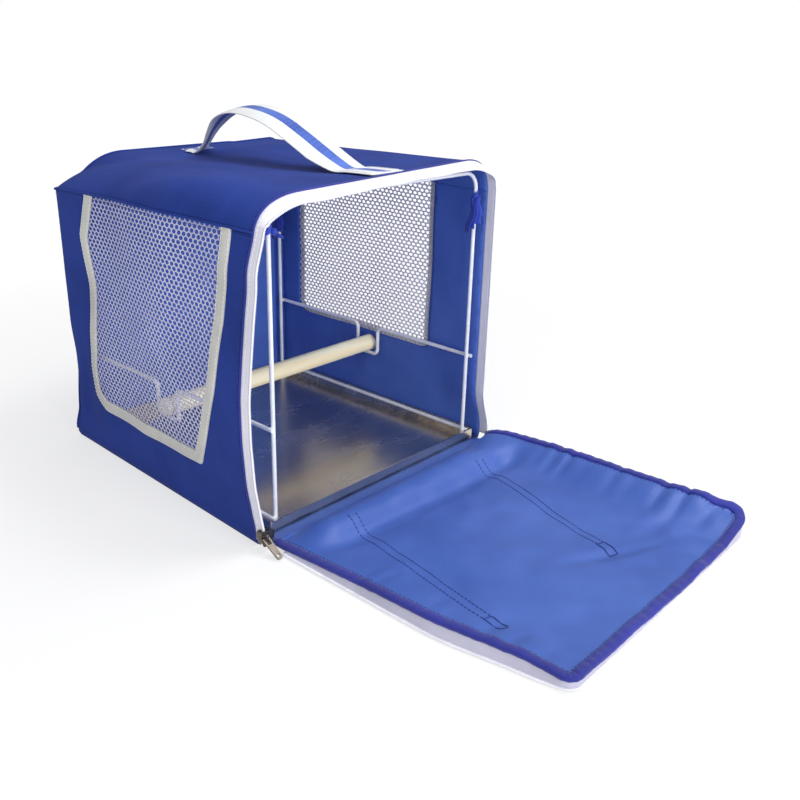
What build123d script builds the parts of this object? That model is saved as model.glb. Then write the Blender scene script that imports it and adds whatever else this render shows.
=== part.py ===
from build123d import *
import math
import os

# Soft bird travel carrier: a sewn fabric cover over a welded wire frame that stands in a metal tray.
# +X is right as seen from the door, -Y is the front, +Z is up. All sizes are in millimetres.
# The origin is the centre of the base's rest face. The door flap lies open on the ground in front.

# ---- wire frame -------------------------------------------------------------------------------
WIRE_R = 1.75            # white coated steel wire
POST_X = 120.0           # centre line of the uprights
POST_Y = 131.0
ARCH_TOP = 258.0         # centre line of the arches' top bars
ARCH_BEND_R = (15.0, 60.0)   # front, rear
WELD_BITE = 0.15         # how far a welded wire sinks into the upright it crosses
RAIL_X = POST_X + 2 * WIRE_R - WELD_BITE
RAIL_END_Y = 134.5       # the rails run a little past the uprights
BOTTOM_RAIL_Z = 11.0
PERCH_RAIL_Z = 87.4
DIP_DEPTH = 29.0         # U-shaped seats for the perch, at the middle of the perch rails
DIP_HALF = 14.0
DIP_BEND_R = 6.0

# ---- perch ------------------------------------------------------------------------------------
PERCH_R = 8.0
PERCH_HALF = 128.0
PERCH_SEAT_GAP = 0.35
PERCH_END_ROUND = 1.2

# ---- tray -------------------------------------------------------------------------------------
TRAY_X = 129.5
TRAY_Y = 137.0
TRAY_TOP = 12.0
SHEET = 0.8
HEM_H = 2.6
HEM_T = 1.6
TRAY_CORNER_R = 2.0

# ---- cover ------------------------------------------------------------------------------------
CLOTH = 1.2              # fabric with its lining
FRONT_Y = -139.0         # where the cloth ends and the zip tape starts
BACK_Y = 140.0
LEFT_X = 147.0           # reach of the left wall at the door
RIGHT_X = 139.0          # the right wall is drawn in towards the frame while the door is open
DRAWN_IN_X = 132.2       # reach of the right wall where it lies against the frame
DRAWN_IN_Y = (-98.0, 95.0)
BACK_X = 133.0
FRONT_TOP = 270.0
BACK_TOP = 262.0
FRONT_TOP_R = 33.0
BACK_TOP_R = 12.0
BASE_R = 2.5
SEAM_Z = 241.0           # where the roof panel is sewn to the sides
APRON_X = (-140.0, 132.0)    # the floor cloth runs forward under the door opening
APRON_Y = -147.5

# ---- window in each side: corners of the binding's outer edge, as (y, z), and their radii ------
WINDOW_TOP = SEAM_Z + 20.0   # the outlines run on past the roof seam, which cuts them off
LEFT_WINDOW = [(-122.0, WINDOW_TOP), (-79.0, 46.0), (107.0, 58.0), (104.0, 170.0), (81.0, WINDOW_TOP)]
LEFT_WINDOW_R = [0, 12.0, 20.0, 40.0, 0]
RIGHT_WINDOW = [(-82.0, WINDOW_TOP), (-80.0, 74.0), (115.0, 74.0), (115.0, WINDOW_TOP)]
RIGHT_WINDOW_R = [0, 12.0, 16.0, 0]
WINDOW_BINDING_W = 11.0
WINDOW_OVERLAP = 5.0     # the binding covers this much of the panel round the hole
BINDING_T = 0.6
MESH_T = 0.6

# ---- zip round the opening --------------------------------------------------------------------
TAPE_T = 1.0
RIM_TAPE_Y = -147.2      # front edge of the tape that stands forward of the cover
COIL = 2.0               # width and depth of each coil
COIL_OVERHANG = 0.5
ZIP_START_Z = 6.0
PIPING_W = 1.6
STOP_H = 4.0

# ---- door flap, open on the ground ------------------------------------------------------------
HINGE_Y = -149.0
HINGE_Z = 1.2
HINGE_GAP = 0.35
DOOR_CLEAR = 3.8         # from the cover's outside to the outer edge of the door's coil
DOOR_MID_X = (RIGHT_X - LEFT_X) / 2
DOOR_HALF = (RIGHT_X + LEFT_X) / 2 - DOOR_CLEAR
DOOR_LENGTH = 265.0
DOOR_R = 29.2
DOOR_ZIP_START = 17.0    # from the hinge line: the door's zip begins where it enters the parked slider
DOOR_BINDING_IN = 8.2
DOOR_BINDING_W = 9.0
DOOR_PANEL_IN = 12.2
DOOR_PANEL_Z = (0.8, 2.4)
DOOR_BINDING_Z = (0.0, 2.9)
DOOR_TAPE_Z = (1.4, 2.4)
DOOR_COIL_Z = (1.0, 3.0)

# ---- mesh pocket on the door's outer face -----------------------------------------------------
POCKET_X = 98.0
POCKET_NEAR = 62.0       # distances from the hinge line
POCKET_FAR = 216.0
POCKET_BINDING_W = 8.0
POCKET_MESH_Z = (0.3, DOOR_PANEL_Z[0])
POCKET_BINDING_Z = (0.1, DOOR_PANEL_Z[0])

# ---- zip slider, parked at the lower left corner ----------------------------------------------
SLIDER_X = (-151.2, -139.0)
SLIDER_Y = (-151.2, -145.0)
SLIDER_Z = (4.0, 17.0)
SLIDER_PLATE = 1.2
TAPE_SLOT_X = (-147.7, -145.3)
NECK_X = (-145.0, -143.9)
NECK_H = 6.0
SLIDER_FOOT_X = (-149.0, -141.2)
BAIL_X = -148.2
BAIL_T = 1.4
BAIL_Z = (7.4, 15.6)
BAIL_Y = -154.9
BAIL_BAR = 1.3
PULL_PIVOT = (-152.55, 11.5)   # y, z of the pull's cross bar
PULL_BAR_R = 0.8
PULL_W = 6.4
PULL_T = 1.2
PULL_ARM_W = 1.5
PULL_ARM_L = 5.5
PULL_TIP_W = 5.2
PULL_HOLE_R = 1.3
PULL_LENGTH = 19.0
PULL_DROOP = 32.0        # degrees below level, its tip near the ground

# ---- handle -----------------------------------------------------------------------------------
STRAP_W = 38.0
STRAP_T = 2.0
HANDLE_FRONT_Y = -131.5
HANDLE_REAR_Y = 138.0
HANDLE_LIFT_FRONT_Y = -92.0
HANDLE_LIFT_REAR_Y = 126.0
LIFT_TANGENT = (1.0, 0.12)
LANDING_TANGENT = (1.0, -0.22)
HANDLE_CURVE = [(-36.0, 293.0), (14.0, 305.0), (60.0, 299.0), (96.0, 283.0)]

# ---- ribbon ties at the frame's top corners ---------------------------------------------------
KNOT = 9.0
KNOT_Z = (236.0, 188.0)  # front, rear
KNOT_SLACK = 0.05
KNOT_ROUND = 2.6
RIBBON_W = 6.0
RIBBON_T = 1.0
TAIL_DROP = 24.0

TRAY_FLOOR = CLOTH + SHEET
FAR = 400.0


def between(front, back, y):
    """A size of the cover at a depth y, where it changes evenly from the door to the back wall."""
    return front + (back - front) * (y - FRONT_Y) / (BACK_Y - CLOTH - FRONT_Y)


def left_x(y):
    """Reach of the left wall's outside at a depth y."""
    return between(LEFT_X, BACK_X, y)


def right_x(y):
    """Reach of the right wall's outside at a depth y."""
    stops = [(FRONT_Y, RIGHT_X), (DRAWN_IN_Y[0], DRAWN_IN_X), (DRAWN_IN_Y[1], DRAWN_IN_X), (BACK_Y - CLOTH, BACK_X)]
    for (y0, x0), (y1, x1) in zip(stops, stops[1:]):
        if y <= y1:
            return x0 + (x1 - x0) * (y - y0) / (y1 - y0)


def roof_z(y):
    """Height of the roof's outside at a depth y."""
    return between(FRONT_TOP, BACK_TOP, y)


def save(piece, name):
    """Label a finished piece and write it."""
    piece.part.label = name
    export_step(piece.part, f"parts/{name}.step")


def section(y, grow=0.0, mode=Mode.ADD):
    """The cover's outline at a depth y, grown outwards or drawn in by one distance."""
    left, right = left_x(y) + grow, right_x(y) + grow
    low, high = -grow, roof_z(y) + grow
    low_r, top_r = BASE_R + grow, between(FRONT_TOP_R, BACK_TOP_R, y) + grow
    with BuildLine() as outline:
        FilletPolyline(
            (-left, low), (right, low), (right, high), (-left, high),
            radius=[low_r, low_r, top_r, top_r],
            close=True,
        )
    make_face(outline.edges(), mode=mode)


def sleeve(outside, inside):
    """A tapering shell from the door to the back wall, between two offsets of the cover's outside."""
    for grow, mode in ((outside, Mode.ADD), (inside, Mode.SUBTRACT)):
        outlines = []
        for y in COVER_STATIONS:
            with BuildSketch(Plane.XZ.offset(-y)) as outline:
                section(y, grow)
            outlines.append(outline.sketch)
        loft(outlines, ruled=True, mode=mode)


def floor_cloth(mode=Mode.ADD):
    """The flat part of the base, between the rounded lower edges of the side walls."""
    right_edge = [(right_x(y) - BASE_R, y) for y in COVER_STATIONS]
    left_edge = [(BASE_R - left_x(y), y) for y in (COVER_STATIONS[-1], COVER_STATIONS[0])]
    with BuildSketch() as outline:
        Polygon(*right_edge, *left_edge, align=None)
    extrude(outline.sketch, amount=CLOTH, mode=mode)


def rim_band(outside, inside, start_y, end_y):
    """A band that follows the door opening up one side, over the top and down the other."""
    with BuildSketch(Plane.XZ.offset(-start_y)) as band:
        section(FRONT_Y, outside)
        section(FRONT_Y, inside, Mode.SUBTRACT)
    extrude(band.sketch, amount=start_y - end_y)
    block((-FAR, FAR), (-FAR, FAR), (-FAR, ZIP_START_Z), Mode.SUBTRACT)


def window_outline(corners, radii, inset, mode=Mode.ADD):
    """A side window's outline, drawn in from the binding's outer edge."""
    with BuildLine() as edge:
        FilletPolyline(*corners, radius=radii, close=True)
    outline = make_face(edge.edges(), mode=Mode.PRIVATE)
    if inset:
        outline = offset(outline, amount=-inset, kind=Kind.INTERSECTION, mode=Mode.PRIVATE)
    add(outline, mode=mode)


def u_shape(inset, near_y, far_r, mode=Mode.ADD):
    """The flap's outline drawn in from its edge, square at the hinge and rounded at its far corners."""
    left, right = DOOR_MID_X - DOOR_HALF + inset, DOOR_MID_X + DOOR_HALF - inset
    far_y = HINGE_Y - DOOR_LENGTH + inset
    with BuildLine() as outline:
        FilletPolyline((left, near_y), (left, far_y), (right, far_y), (right, near_y), radius=far_r)
        Line((right, near_y), (left, near_y))
    make_face(outline.edges(), mode=mode)


def door_slab(inset, heights, start=HINGE_GAP, cut_in=None):
    """A layer of the flap, drawn in from its outer edge; with cut_in it is only a band that wide in."""
    with BuildSketch(Plane.XY.offset(heights[0])) as layer:
        u_shape(inset, HINGE_Y - start, DOOR_R - inset)
        if cut_in:
            u_shape(cut_in, HINGE_Y, DOOR_R - cut_in, Mode.SUBTRACT)
    extrude(layer.sketch, amount=heights[1] - heights[0])


def block(x, y, z, mode=Mode.ADD):
    """A box given by its two faces along each axis."""
    with Locations(((x[0] + x[1]) / 2, (y[0] + y[1]) / 2, (z[0] + z[1]) / 2)):
        Box(x[1] - x[0], y[1] - y[0], z[1] - z[0], mode=mode)


COVER_STATIONS = (FRONT_Y, *DRAWN_IN_Y, BACK_Y - CLOTH)

os.makedirs("parts", exist_ok=True)

# ---- welded wire frame ------------------------------------------------------------------------
for end, y, bend_r in (("front", -POST_Y, ARCH_BEND_R[0]), ("rear", POST_Y, ARCH_BEND_R[1])):
    with BuildPart() as arch:
        with BuildLine(Plane.XZ.offset(-y)):
            FilletPolyline(
                (-POST_X, TRAY_FLOOR), (-POST_X, ARCH_TOP), (POST_X, ARCH_TOP), (POST_X, TRAY_FLOOR),
                radius=bend_r,
            )
        with BuildSketch(Plane((-POST_X, y, TRAY_FLOOR))):
            Circle(WIRE_R)
        sweep()
    save(arch, f"{end}_arch_wire")

for side, sign in (("left", -1), ("right", 1)):
    with BuildPart() as bottom_rail:
        with BuildSketch(Plane.XZ.offset(-RAIL_END_Y)):
            with Locations((sign * RAIL_X, BOTTOM_RAIL_Z)):
                Circle(WIRE_R)
        extrude(amount=2 * RAIL_END_Y)
    save(bottom_rail, f"{side}_bottom_rail")

    with BuildPart() as perch_rail:
        with BuildLine(Plane.YZ.offset(sign * RAIL_X)):
            FilletPolyline(
                (-RAIL_END_Y, PERCH_RAIL_Z),
                (-DIP_HALF, PERCH_RAIL_Z),
                (-DIP_HALF, PERCH_RAIL_Z - DIP_DEPTH),
                (DIP_HALF, PERCH_RAIL_Z - DIP_DEPTH),
                (DIP_HALF, PERCH_RAIL_Z),
                (RAIL_END_Y, PERCH_RAIL_Z),
                radius=DIP_BEND_R,
            )
        with BuildSketch(Plane((sign * RAIL_X, -RAIL_END_Y, PERCH_RAIL_Z), z_dir=(0, 1, 0))):
            Circle(WIRE_R)
        sweep()
    save(perch_rail, f"{side}_perch_rail")

# ---- wooden perch, lying in the two dips --------------------------------------------------------
PERCH_Z = PERCH_RAIL_Z - DIP_DEPTH + WIRE_R + PERCH_SEAT_GAP + PERCH_R
with BuildPart() as perch:
    with BuildSketch(Plane.YZ.offset(-PERCH_HALF)):
        with Locations((0, PERCH_Z)):
            Circle(PERCH_R)
    extrude(amount=2 * PERCH_HALF)
    chamfer(perch.edges().filter_by(GeomType.CIRCLE), PERCH_END_ROUND)
save(perch, "perch")

# ---- folded sheet tray with a hemmed edge -------------------------------------------------------
with BuildPart() as tray:
    with BuildSketch(Plane.XY.offset(CLOTH)):
        RectangleRounded(2 * TRAY_X, 2 * TRAY_Y, TRAY_CORNER_R)
    extrude(amount=TRAY_TOP - CLOTH)
    offset(amount=-SHEET, openings=tray.faces().sort_by(Axis.Z)[-1])
    with BuildSketch(Plane.XY.offset(TRAY_TOP - HEM_H)):
        RectangleRounded(2 * TRAY_X, 2 * TRAY_Y, TRAY_CORNER_R)
        Rectangle(2 * (TRAY_X - HEM_T), 2 * (TRAY_Y - HEM_T), mode=Mode.SUBTRACT)
    extrude(amount=HEM_H)
save(tray, "tray")

# ---- fabric cover, cut into its sewn panels -----------------------------------------------------
with BuildPart() as top_panel:
    sleeve(0, -CLOTH)
    block((-FAR, FAR), (-FAR, FAR), (SEAM_Z, FAR), Mode.INTERSECT)
save(top_panel, "top_panel")

SIDES = (("left", -1, LEFT_WINDOW, LEFT_WINDOW_R), ("right", 1, RIGHT_WINDOW, RIGHT_WINDOW_R))
for side, sign, corners, radii in SIDES:
    window_plane = Plane.YZ.offset(sign * BACK_X / 2)
    half_space = sorted((0, sign * FAR))

    with BuildPart() as side_panel:
        sleeve(0, -CLOTH)
        block(half_space, (-FAR, FAR), (0, SEAM_Z), Mode.INTERSECT)
        floor_cloth(Mode.SUBTRACT)
        with BuildSketch(window_plane):
            window_outline(corners, radii, WINDOW_OVERLAP)
        extrude(amount=sign * BACK_X, mode=Mode.SUBTRACT)
    save(side_panel, f"{side}_side_panel")

    with BuildPart() as window_mesh:
        sleeve((MESH_T - CLOTH) / 2, -(MESH_T + CLOTH) / 2)
        block(half_space, (-FAR, FAR), (CLOTH, SEAM_Z), Mode.INTERSECT)
        with BuildSketch(window_plane):
            window_outline(corners, radii, WINDOW_OVERLAP)
        extrude(amount=sign * BACK_X, mode=Mode.INTERSECT)
    save(window_mesh, f"{side}_window_mesh")

    with BuildPart() as window_binding:
        sleeve(BINDING_T, 0)
        block(half_space, (-FAR, FAR), (CLOTH, SEAM_Z), Mode.INTERSECT)
        with BuildSketch(window_plane):
            window_outline(corners, radii, 0)
            window_outline(corners, radii, WINDOW_BINDING_W, Mode.SUBTRACT)
        extrude(amount=sign * BACK_X, mode=Mode.INTERSECT)
    save(window_binding, f"{side}_window_binding")

with BuildPart() as back_panel:
    with BuildSketch(Plane.XZ.offset(-BACK_Y)):
        section(COVER_STATIONS[-1])
    extrude(amount=CLOTH)
save(back_panel, "back_panel")

with BuildPart() as bottom_panel:
    floor_cloth()
    block(APRON_X, (APRON_Y, FRONT_Y), (0, CLOTH))
save(bottom_panel, "bottom_panel")

# ---- zip round the door opening ------------------------------------------------------------------
with BuildPart() as rim_tape:
    rim_band(0, -TAPE_T, FRONT_Y, RIM_TAPE_Y)
save(rim_tape, "opening_zip_tape")

with BuildPart() as rim_coil:
    rim_band(COIL_OVERHANG, COIL_OVERHANG - COIL, RIM_TAPE_Y, RIM_TAPE_Y - COIL)
    block((0, FAR), (-FAR, FAR), (0, ZIP_START_Z + STOP_H), Mode.SUBTRACT)
save(rim_coil, "opening_zip_coil")

with BuildPart() as end_stop:
    block(
        (RIGHT_X - 2 * COIL_OVERHANG - COIL / 2, RIGHT_X + 2 * COIL_OVERHANG),
        (RIM_TAPE_Y - COIL - COIL_OVERHANG, RIM_TAPE_Y),
        (ZIP_START_Z, ZIP_START_Z + STOP_H),
    )
    fillet(end_stop.edges().filter_by(Axis.Y), COIL_OVERHANG)
save(end_stop, "zip_end_stop")

with BuildPart() as piping:
    rim_band(PIPING_W, 0, FRONT_Y + PIPING_W / 2, FRONT_Y - PIPING_W / 2)
save(piping, "opening_piping")

# ---- door flap -----------------------------------------------------------------------------------
with BuildPart() as door_panel:
    door_slab(DOOR_PANEL_IN, DOOR_PANEL_Z)
save(door_panel, "door_panel")

with BuildPart() as door_binding:
    door_slab(DOOR_BINDING_IN, DOOR_BINDING_Z, cut_in=DOOR_BINDING_IN + DOOR_BINDING_W)
    with BuildSketch(Plane.XY.offset(DOOR_PANEL_Z[0])):
        u_shape(DOOR_PANEL_IN, HINGE_Y, DOOR_R - DOOR_PANEL_IN)
    extrude(amount=DOOR_PANEL_Z[1] - DOOR_PANEL_Z[0], mode=Mode.SUBTRACT)
save(door_binding, "door_edge_binding")

with BuildPart() as door_tape:
    door_slab(COIL, DOOR_TAPE_Z, DOOR_ZIP_START, DOOR_BINDING_IN)
save(door_tape, "door_zip_tape")

with BuildPart() as door_coil:
    door_slab(0, DOOR_COIL_Z, DOOR_ZIP_START, COIL)
save(door_coil, "door_zip_coil")

with BuildPart() as pocket_mesh:
    with BuildSketch(Plane.XY.offset(POCKET_MESH_Z[0])):
        with Locations((DOOR_MID_X, HINGE_Y - (POCKET_NEAR + POCKET_FAR) / 2)):
            Rectangle(2 * (POCKET_X - POCKET_BINDING_W), POCKET_FAR - POCKET_NEAR - 2 * POCKET_BINDING_W)
    extrude(amount=POCKET_MESH_Z[1] - POCKET_MESH_Z[0])
save(pocket_mesh, "door_pocket_mesh")

with BuildPart() as pocket_binding:
    with BuildSketch(Plane.XY.offset(POCKET_BINDING_Z[0])):
        with Locations((DOOR_MID_X, HINGE_Y - (POCKET_NEAR + POCKET_FAR) / 2)):
            RectangleRounded(2 * POCKET_X, POCKET_FAR - POCKET_NEAR, POCKET_BINDING_W)
            Rectangle(
                2 * (POCKET_X - POCKET_BINDING_W),
                POCKET_FAR - POCKET_NEAR - 2 * POCKET_BINDING_W,
                mode=Mode.SUBTRACT,
            )
    extrude(amount=POCKET_BINDING_Z[1] - POCKET_BINDING_Z[0])
save(pocket_binding, "door_pocket_binding")

# ---- zip slider and its pull ---------------------------------------------------------------------
PLATE_GAP_Y = (SLIDER_Y[0] + SLIDER_PLATE, SLIDER_Y[1] - SLIDER_PLATE)
SHOULDER_Z = SLIDER_Z[1] - NECK_H
with BuildPart() as slider:
    with BuildSketch(Plane.XZ.offset(-SLIDER_Y[1])):
        with BuildLine():
            FilletPolyline(
                (SLIDER_FOOT_X[0], SLIDER_Z[0]), (SLIDER_FOOT_X[1], SLIDER_Z[0]),
                (SLIDER_X[1], SHOULDER_Z), (SLIDER_X[1], SLIDER_Z[1]),
                (SLIDER_X[0], SLIDER_Z[1]), (SLIDER_X[0], SHOULDER_Z),
                radius=[1.5, 1.5, 2.5, 2.0, 2.0, 2.5],
                close=True,
            )
        make_face()
    extrude(amount=SLIDER_Y[1] - SLIDER_Y[0])
    block((SLIDER_X[0] + SLIDER_PLATE, FAR), PLATE_GAP_Y, (0, FAR), Mode.SUBTRACT)
    block(TAPE_SLOT_X, (PLATE_GAP_Y[0], FAR), (0, FAR), Mode.SUBTRACT)
    block(NECK_X, PLATE_GAP_Y, (SHOULDER_Z, SLIDER_Z[1]))
    block((BAIL_X - BAIL_T / 2, BAIL_X + BAIL_T / 2), (BAIL_Y, SLIDER_Y[0]), BAIL_Z)
    fillet(slider.edges().filter_by(Axis.X).group_by(Axis.Y)[0], BAIL_BAR)
    block(
        (BAIL_X - BAIL_T, BAIL_X + BAIL_T),
        (BAIL_Y + BAIL_BAR, SLIDER_Y[0]),
        (BAIL_Z[0] + BAIL_BAR, BAIL_Z[1] - BAIL_BAR),
        Mode.SUBTRACT,
    )
save(slider, "zip_slider")

droop = math.radians(PULL_DROOP)
pull_plane = Plane(
    (BAIL_X, PULL_PIVOT[0], PULL_PIVOT[1]),
    x_dir=(1, 0, 0),
    z_dir=(0, math.sin(droop), -math.cos(droop)),
)
ARM_X = PULL_W / 2 - PULL_ARM_W
with BuildPart() as pull:
    with BuildSketch(pull_plane):
        with BuildLine():
            FilletPolyline(
                (-PULL_W / 2, -PULL_BAR_R), (PULL_W / 2, -PULL_BAR_R),
                (PULL_TIP_W / 2, PULL_LENGTH), (-PULL_TIP_W / 2, PULL_LENGTH),
                radius=[PULL_BAR_R / 2, PULL_BAR_R / 2, 1.6, 1.6],
                close=True,
            )
        make_face()
        with Locations((0, PULL_ARM_L / 2 - PULL_BAR_R)):
            Rectangle(2 * ARM_X, PULL_ARM_L + 2 * PULL_BAR_R, mode=Mode.SUBTRACT)
        with Locations((0, PULL_LENGTH - PULL_W / 2)):
            Circle(PULL_HOLE_R, mode=Mode.SUBTRACT)
    extrude(amount=PULL_T / 2, both=True)
    with BuildSketch(Plane.YZ.offset(BAIL_X - ARM_X)):
        with Locations(PULL_PIVOT):
            Circle(PULL_BAR_R)
    extrude(amount=2 * ARM_X)
save(pull, "zip_pull_tab")

# ---- webbing handle ------------------------------------------------------------------------------
strap_ends = [
    (y, roof_z(y) + STRAP_T / 2)
    for y in (HANDLE_FRONT_Y, HANDLE_LIFT_FRONT_Y, HANDLE_LIFT_REAR_Y, HANDLE_REAR_Y)
]
with BuildPart() as handle:
    with BuildSketch(Plane.YZ.offset(-STRAP_W / 2)):
        with BuildLine():
            Line(strap_ends[0], strap_ends[1])
            Spline(strap_ends[1], *HANDLE_CURVE, strap_ends[2], tangents=[LIFT_TANGENT, LANDING_TANGENT])
            Line(strap_ends[2], strap_ends[3])
        trace(line_width=STRAP_T)
    extrude(amount=STRAP_W)
save(handle, "handle_webbing")

# ---- ribbon ties that hold the cover to the frame --------------------------------------------------
for end, y, knot_z in (("front", -POST_Y, KNOT_Z[0]), ("rear", POST_Y, KNOT_Z[1])):
    for side, sign, reach in (("left", -1, left_x), ("right", 1, right_x)):
        inner_wall = min(reach(y - RIBBON_T / 2), reach(y + RIBBON_T / 2)) - CLOTH
        with BuildPart() as tie:
            block(
                (sign * POST_X - KNOT / 2, sign * POST_X + KNOT / 2),
                (y - KNOT / 2, y + KNOT / 2),
                (knot_z - KNOT / 2, knot_z + KNOT / 2),
            )
            chamfer(tie.edges(), KNOT_ROUND)
            block(
                sorted((sign * POST_X, sign * inner_wall)),
                (y - RIBBON_T / 2, y + RIBBON_T / 2),
                (knot_z - KNOT / 2 - RIBBON_W / 3, knot_z - KNOT / 2 + 2 * RIBBON_W / 3),
            )
            tail = sign * (POST_X - KNOT / 2)
            block(
                sorted((tail, tail + sign * RIBBON_T)),
                (y - RIBBON_W / 2, y + RIBBON_W / 2),
                (knot_z - TAIL_DROP, knot_z),
            )
            with Locations((sign * POST_X, y, knot_z)):
                Cylinder(WIRE_R + KNOT_SLACK, 2 * KNOT, mode=Mode.SUBTRACT)
        save(tie, f"{end}_{side}_tie")
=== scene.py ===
import logging
import math
from dataclasses import dataclass
from enum import Enum
from typing import Callable, Iterable, Sequence

import bmesh
import bpy
from mathutils import Matrix, Vector, noise
from mathutils.geometry import delaunay_2d_cdt


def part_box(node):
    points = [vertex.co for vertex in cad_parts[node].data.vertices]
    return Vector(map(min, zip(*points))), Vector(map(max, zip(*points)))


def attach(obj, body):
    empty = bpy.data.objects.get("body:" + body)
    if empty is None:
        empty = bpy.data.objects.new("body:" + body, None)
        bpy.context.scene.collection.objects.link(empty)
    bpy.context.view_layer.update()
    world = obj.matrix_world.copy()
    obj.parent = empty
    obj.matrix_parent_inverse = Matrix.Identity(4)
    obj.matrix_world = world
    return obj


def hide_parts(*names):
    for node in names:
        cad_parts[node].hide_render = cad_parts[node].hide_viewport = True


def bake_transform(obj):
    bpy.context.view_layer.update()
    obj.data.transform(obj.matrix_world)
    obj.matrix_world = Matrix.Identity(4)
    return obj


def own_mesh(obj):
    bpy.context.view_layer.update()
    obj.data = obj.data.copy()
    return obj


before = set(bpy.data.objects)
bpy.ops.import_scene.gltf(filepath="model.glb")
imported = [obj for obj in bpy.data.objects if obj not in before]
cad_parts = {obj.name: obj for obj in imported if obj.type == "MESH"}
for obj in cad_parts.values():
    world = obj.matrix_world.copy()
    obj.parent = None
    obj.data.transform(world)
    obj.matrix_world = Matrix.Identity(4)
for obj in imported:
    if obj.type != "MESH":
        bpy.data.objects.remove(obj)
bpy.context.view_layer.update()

MM = 0.001
UP = Vector((0.0, 0.0, 1.0))
WIRE_RADIUS = 1.75
HAIR = 0.01
log = logging.getLogger("carrier")

Point = tuple[float, float, float]
Flat = tuple[float, float]
Color = tuple[float, float, float]


class Body(str, Enum):
    """The rigid bodies that the pieces ride on."""

    COVER = "cover_and_frame"
    DOOR = "door"
    PERCH = "perch_bar"
    SLIDER = "slider"
    PULL = "pull"


class Slot(str, Enum):
    """The record's material slots."""

    FABRIC = "blue_fabric"
    BINDING = "blue_binding"
    NET = "white_mesh"
    TAPE = "white_tape"
    COIL = "white_coil"
    WEBBING = "white_webbing"
    WIRE = "coated_wire"
    TRAY = "tray_steel"
    WOOD = "perch_wood"
    METAL = "slider_metal"


class Side(Enum):
    """The two side walls, by the sign of X."""

    LEFT = -1
    RIGHT = 1


# ---------------------------------------------------------------------------------------------
# small helpers
# ---------------------------------------------------------------------------------------------


def lerp(a: float, b: float, t: float) -> float:
    """Straight blend from a to b."""
    return a + (b - a) * t


def clamp(t: float, low: float = 0.0, high: float = 1.0) -> float:
    """t kept within two limits."""
    return max(low, min(high, t))


def smooth(t: float, low: float = 0.0, high: float = 1.0) -> float:
    """A soft step from 0 at low to 1 at high."""
    s = clamp((t - low) / (high - low))
    return s * s * (3 - 2 * s)


def bump(t: float, centre: float, width: float) -> float:
    """A soft bell of height 1 round centre that is 0 beyond width."""
    s = abs(t - centre) / width
    return (1 - s * s) ** 2 if s < 1 else 0.0


def wave(point: Point, size: float, seed: float = 0.0) -> float:
    """Smooth noise between about -1 and 1 with features of one size, in millimetres."""
    p = Vector(point) / size + Vector((seed, seed * 1.7, -seed))
    return noise.noise(p, noise_basis="PERLIN_ORIGINAL") * 1.6


def table(points: Sequence[Flat], t: float) -> float:
    """Reads a curve given by a few (place, value) pairs, rounded between them.

    Args:
        points: the pairs in rising order of place.
        t: the place to read.

    Returns:
        The value there.
    """
    if t <= points[0][0]:
        return points[0][1]
    for (t0, v0), (t1, v1) in zip(points, points[1:]):
        if t <= t1:
            return lerp(v0, v1, smooth(t, t0, t1))
    return points[-1][1]


def eased(points: Sequence[Flat], t: float, width: float) -> float:
    """Reads a curve of straight runs whose corners are softened over a width.

    Args:
        points: (place, value) pairs in rising order of place.
        t: the place to read.
        width: how far the softening reaches.

    Returns:
        The value there.
    """
    total = 0.0
    for shift in (-1.0, -0.6, -0.2, 0.2, 0.6, 1.0):
        at = clamp(t + shift * width, points[0][0], points[-1][0])
        for (t0, v0), (t1, v1) in zip(points, points[1:]):
            if at <= t1:
                total += lerp(v0, v1, (at - t0) / (t1 - t0))
                break
    return total / 6


def lerp_flat(a: Flat, b: Flat, t: float) -> Flat:
    """Straight blend between two flat points."""
    return (lerp(a[0], b[0], t), lerp(a[1], b[1], t))


def turns(count: int) -> list[float]:
    """Angles at an even spacing round a full turn."""
    return [math.tau * k / count for k in range(count)]


def shares(count: int) -> list[float]:
    """Shares from 0 to 1 in even steps."""
    return [k / count for k in range(count + 1)]


def heading(path: Sequence, k: int) -> Vector:
    """The direction of a path at its k-th point."""
    return (Vector(path[min(k + 1, len(path) - 1)]) - Vector(path[max(k - 1, 0)])).normalized()


def leftward(run: Vector) -> Vector:
    """A flat direction turned a quarter to the left."""
    return Vector((-run.y, run.x))


def rounded(corners: Sequence[Flat], radii: Sequence[float], step: float) -> list[Flat]:
    """A closed outline with rounded corners and points at an even spacing.

    Args:
        corners: the sharp corners in order.
        radii: the radius at each of them.
        step: the rough distance between points.

    Returns:
        The outline's points.
    """
    path: list[Vector] = []
    count = len(corners)
    for i, radius in enumerate(radii):
        c, before, after = (Vector(corners[k % count]) for k in (i, i - 1, i + 1))
        u, v = (before - c).normalized(), (after - c).normalized()
        if radius < HAIR:
            path.append(c)
            continue
        half = u.angle(v) / 2
        reach = radius / math.tan(half)
        centre = c + (u + v).normalized() * (radius / math.sin(half))
        start, end = c + u * reach - centre, c + v * reach - centre
        turn = start.angle_signed(end)
        steps = max(3, int(abs(turn) * radius / step))
        for k in range(steps + 1):
            a = -turn * k / steps
            path.append(centre + Vector((
                start.x * math.cos(a) - start.y * math.sin(a),
                start.x * math.sin(a) + start.y * math.cos(a),
            )))
    return spaced([(p.x, p.y) for p in path], step, True)


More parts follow.
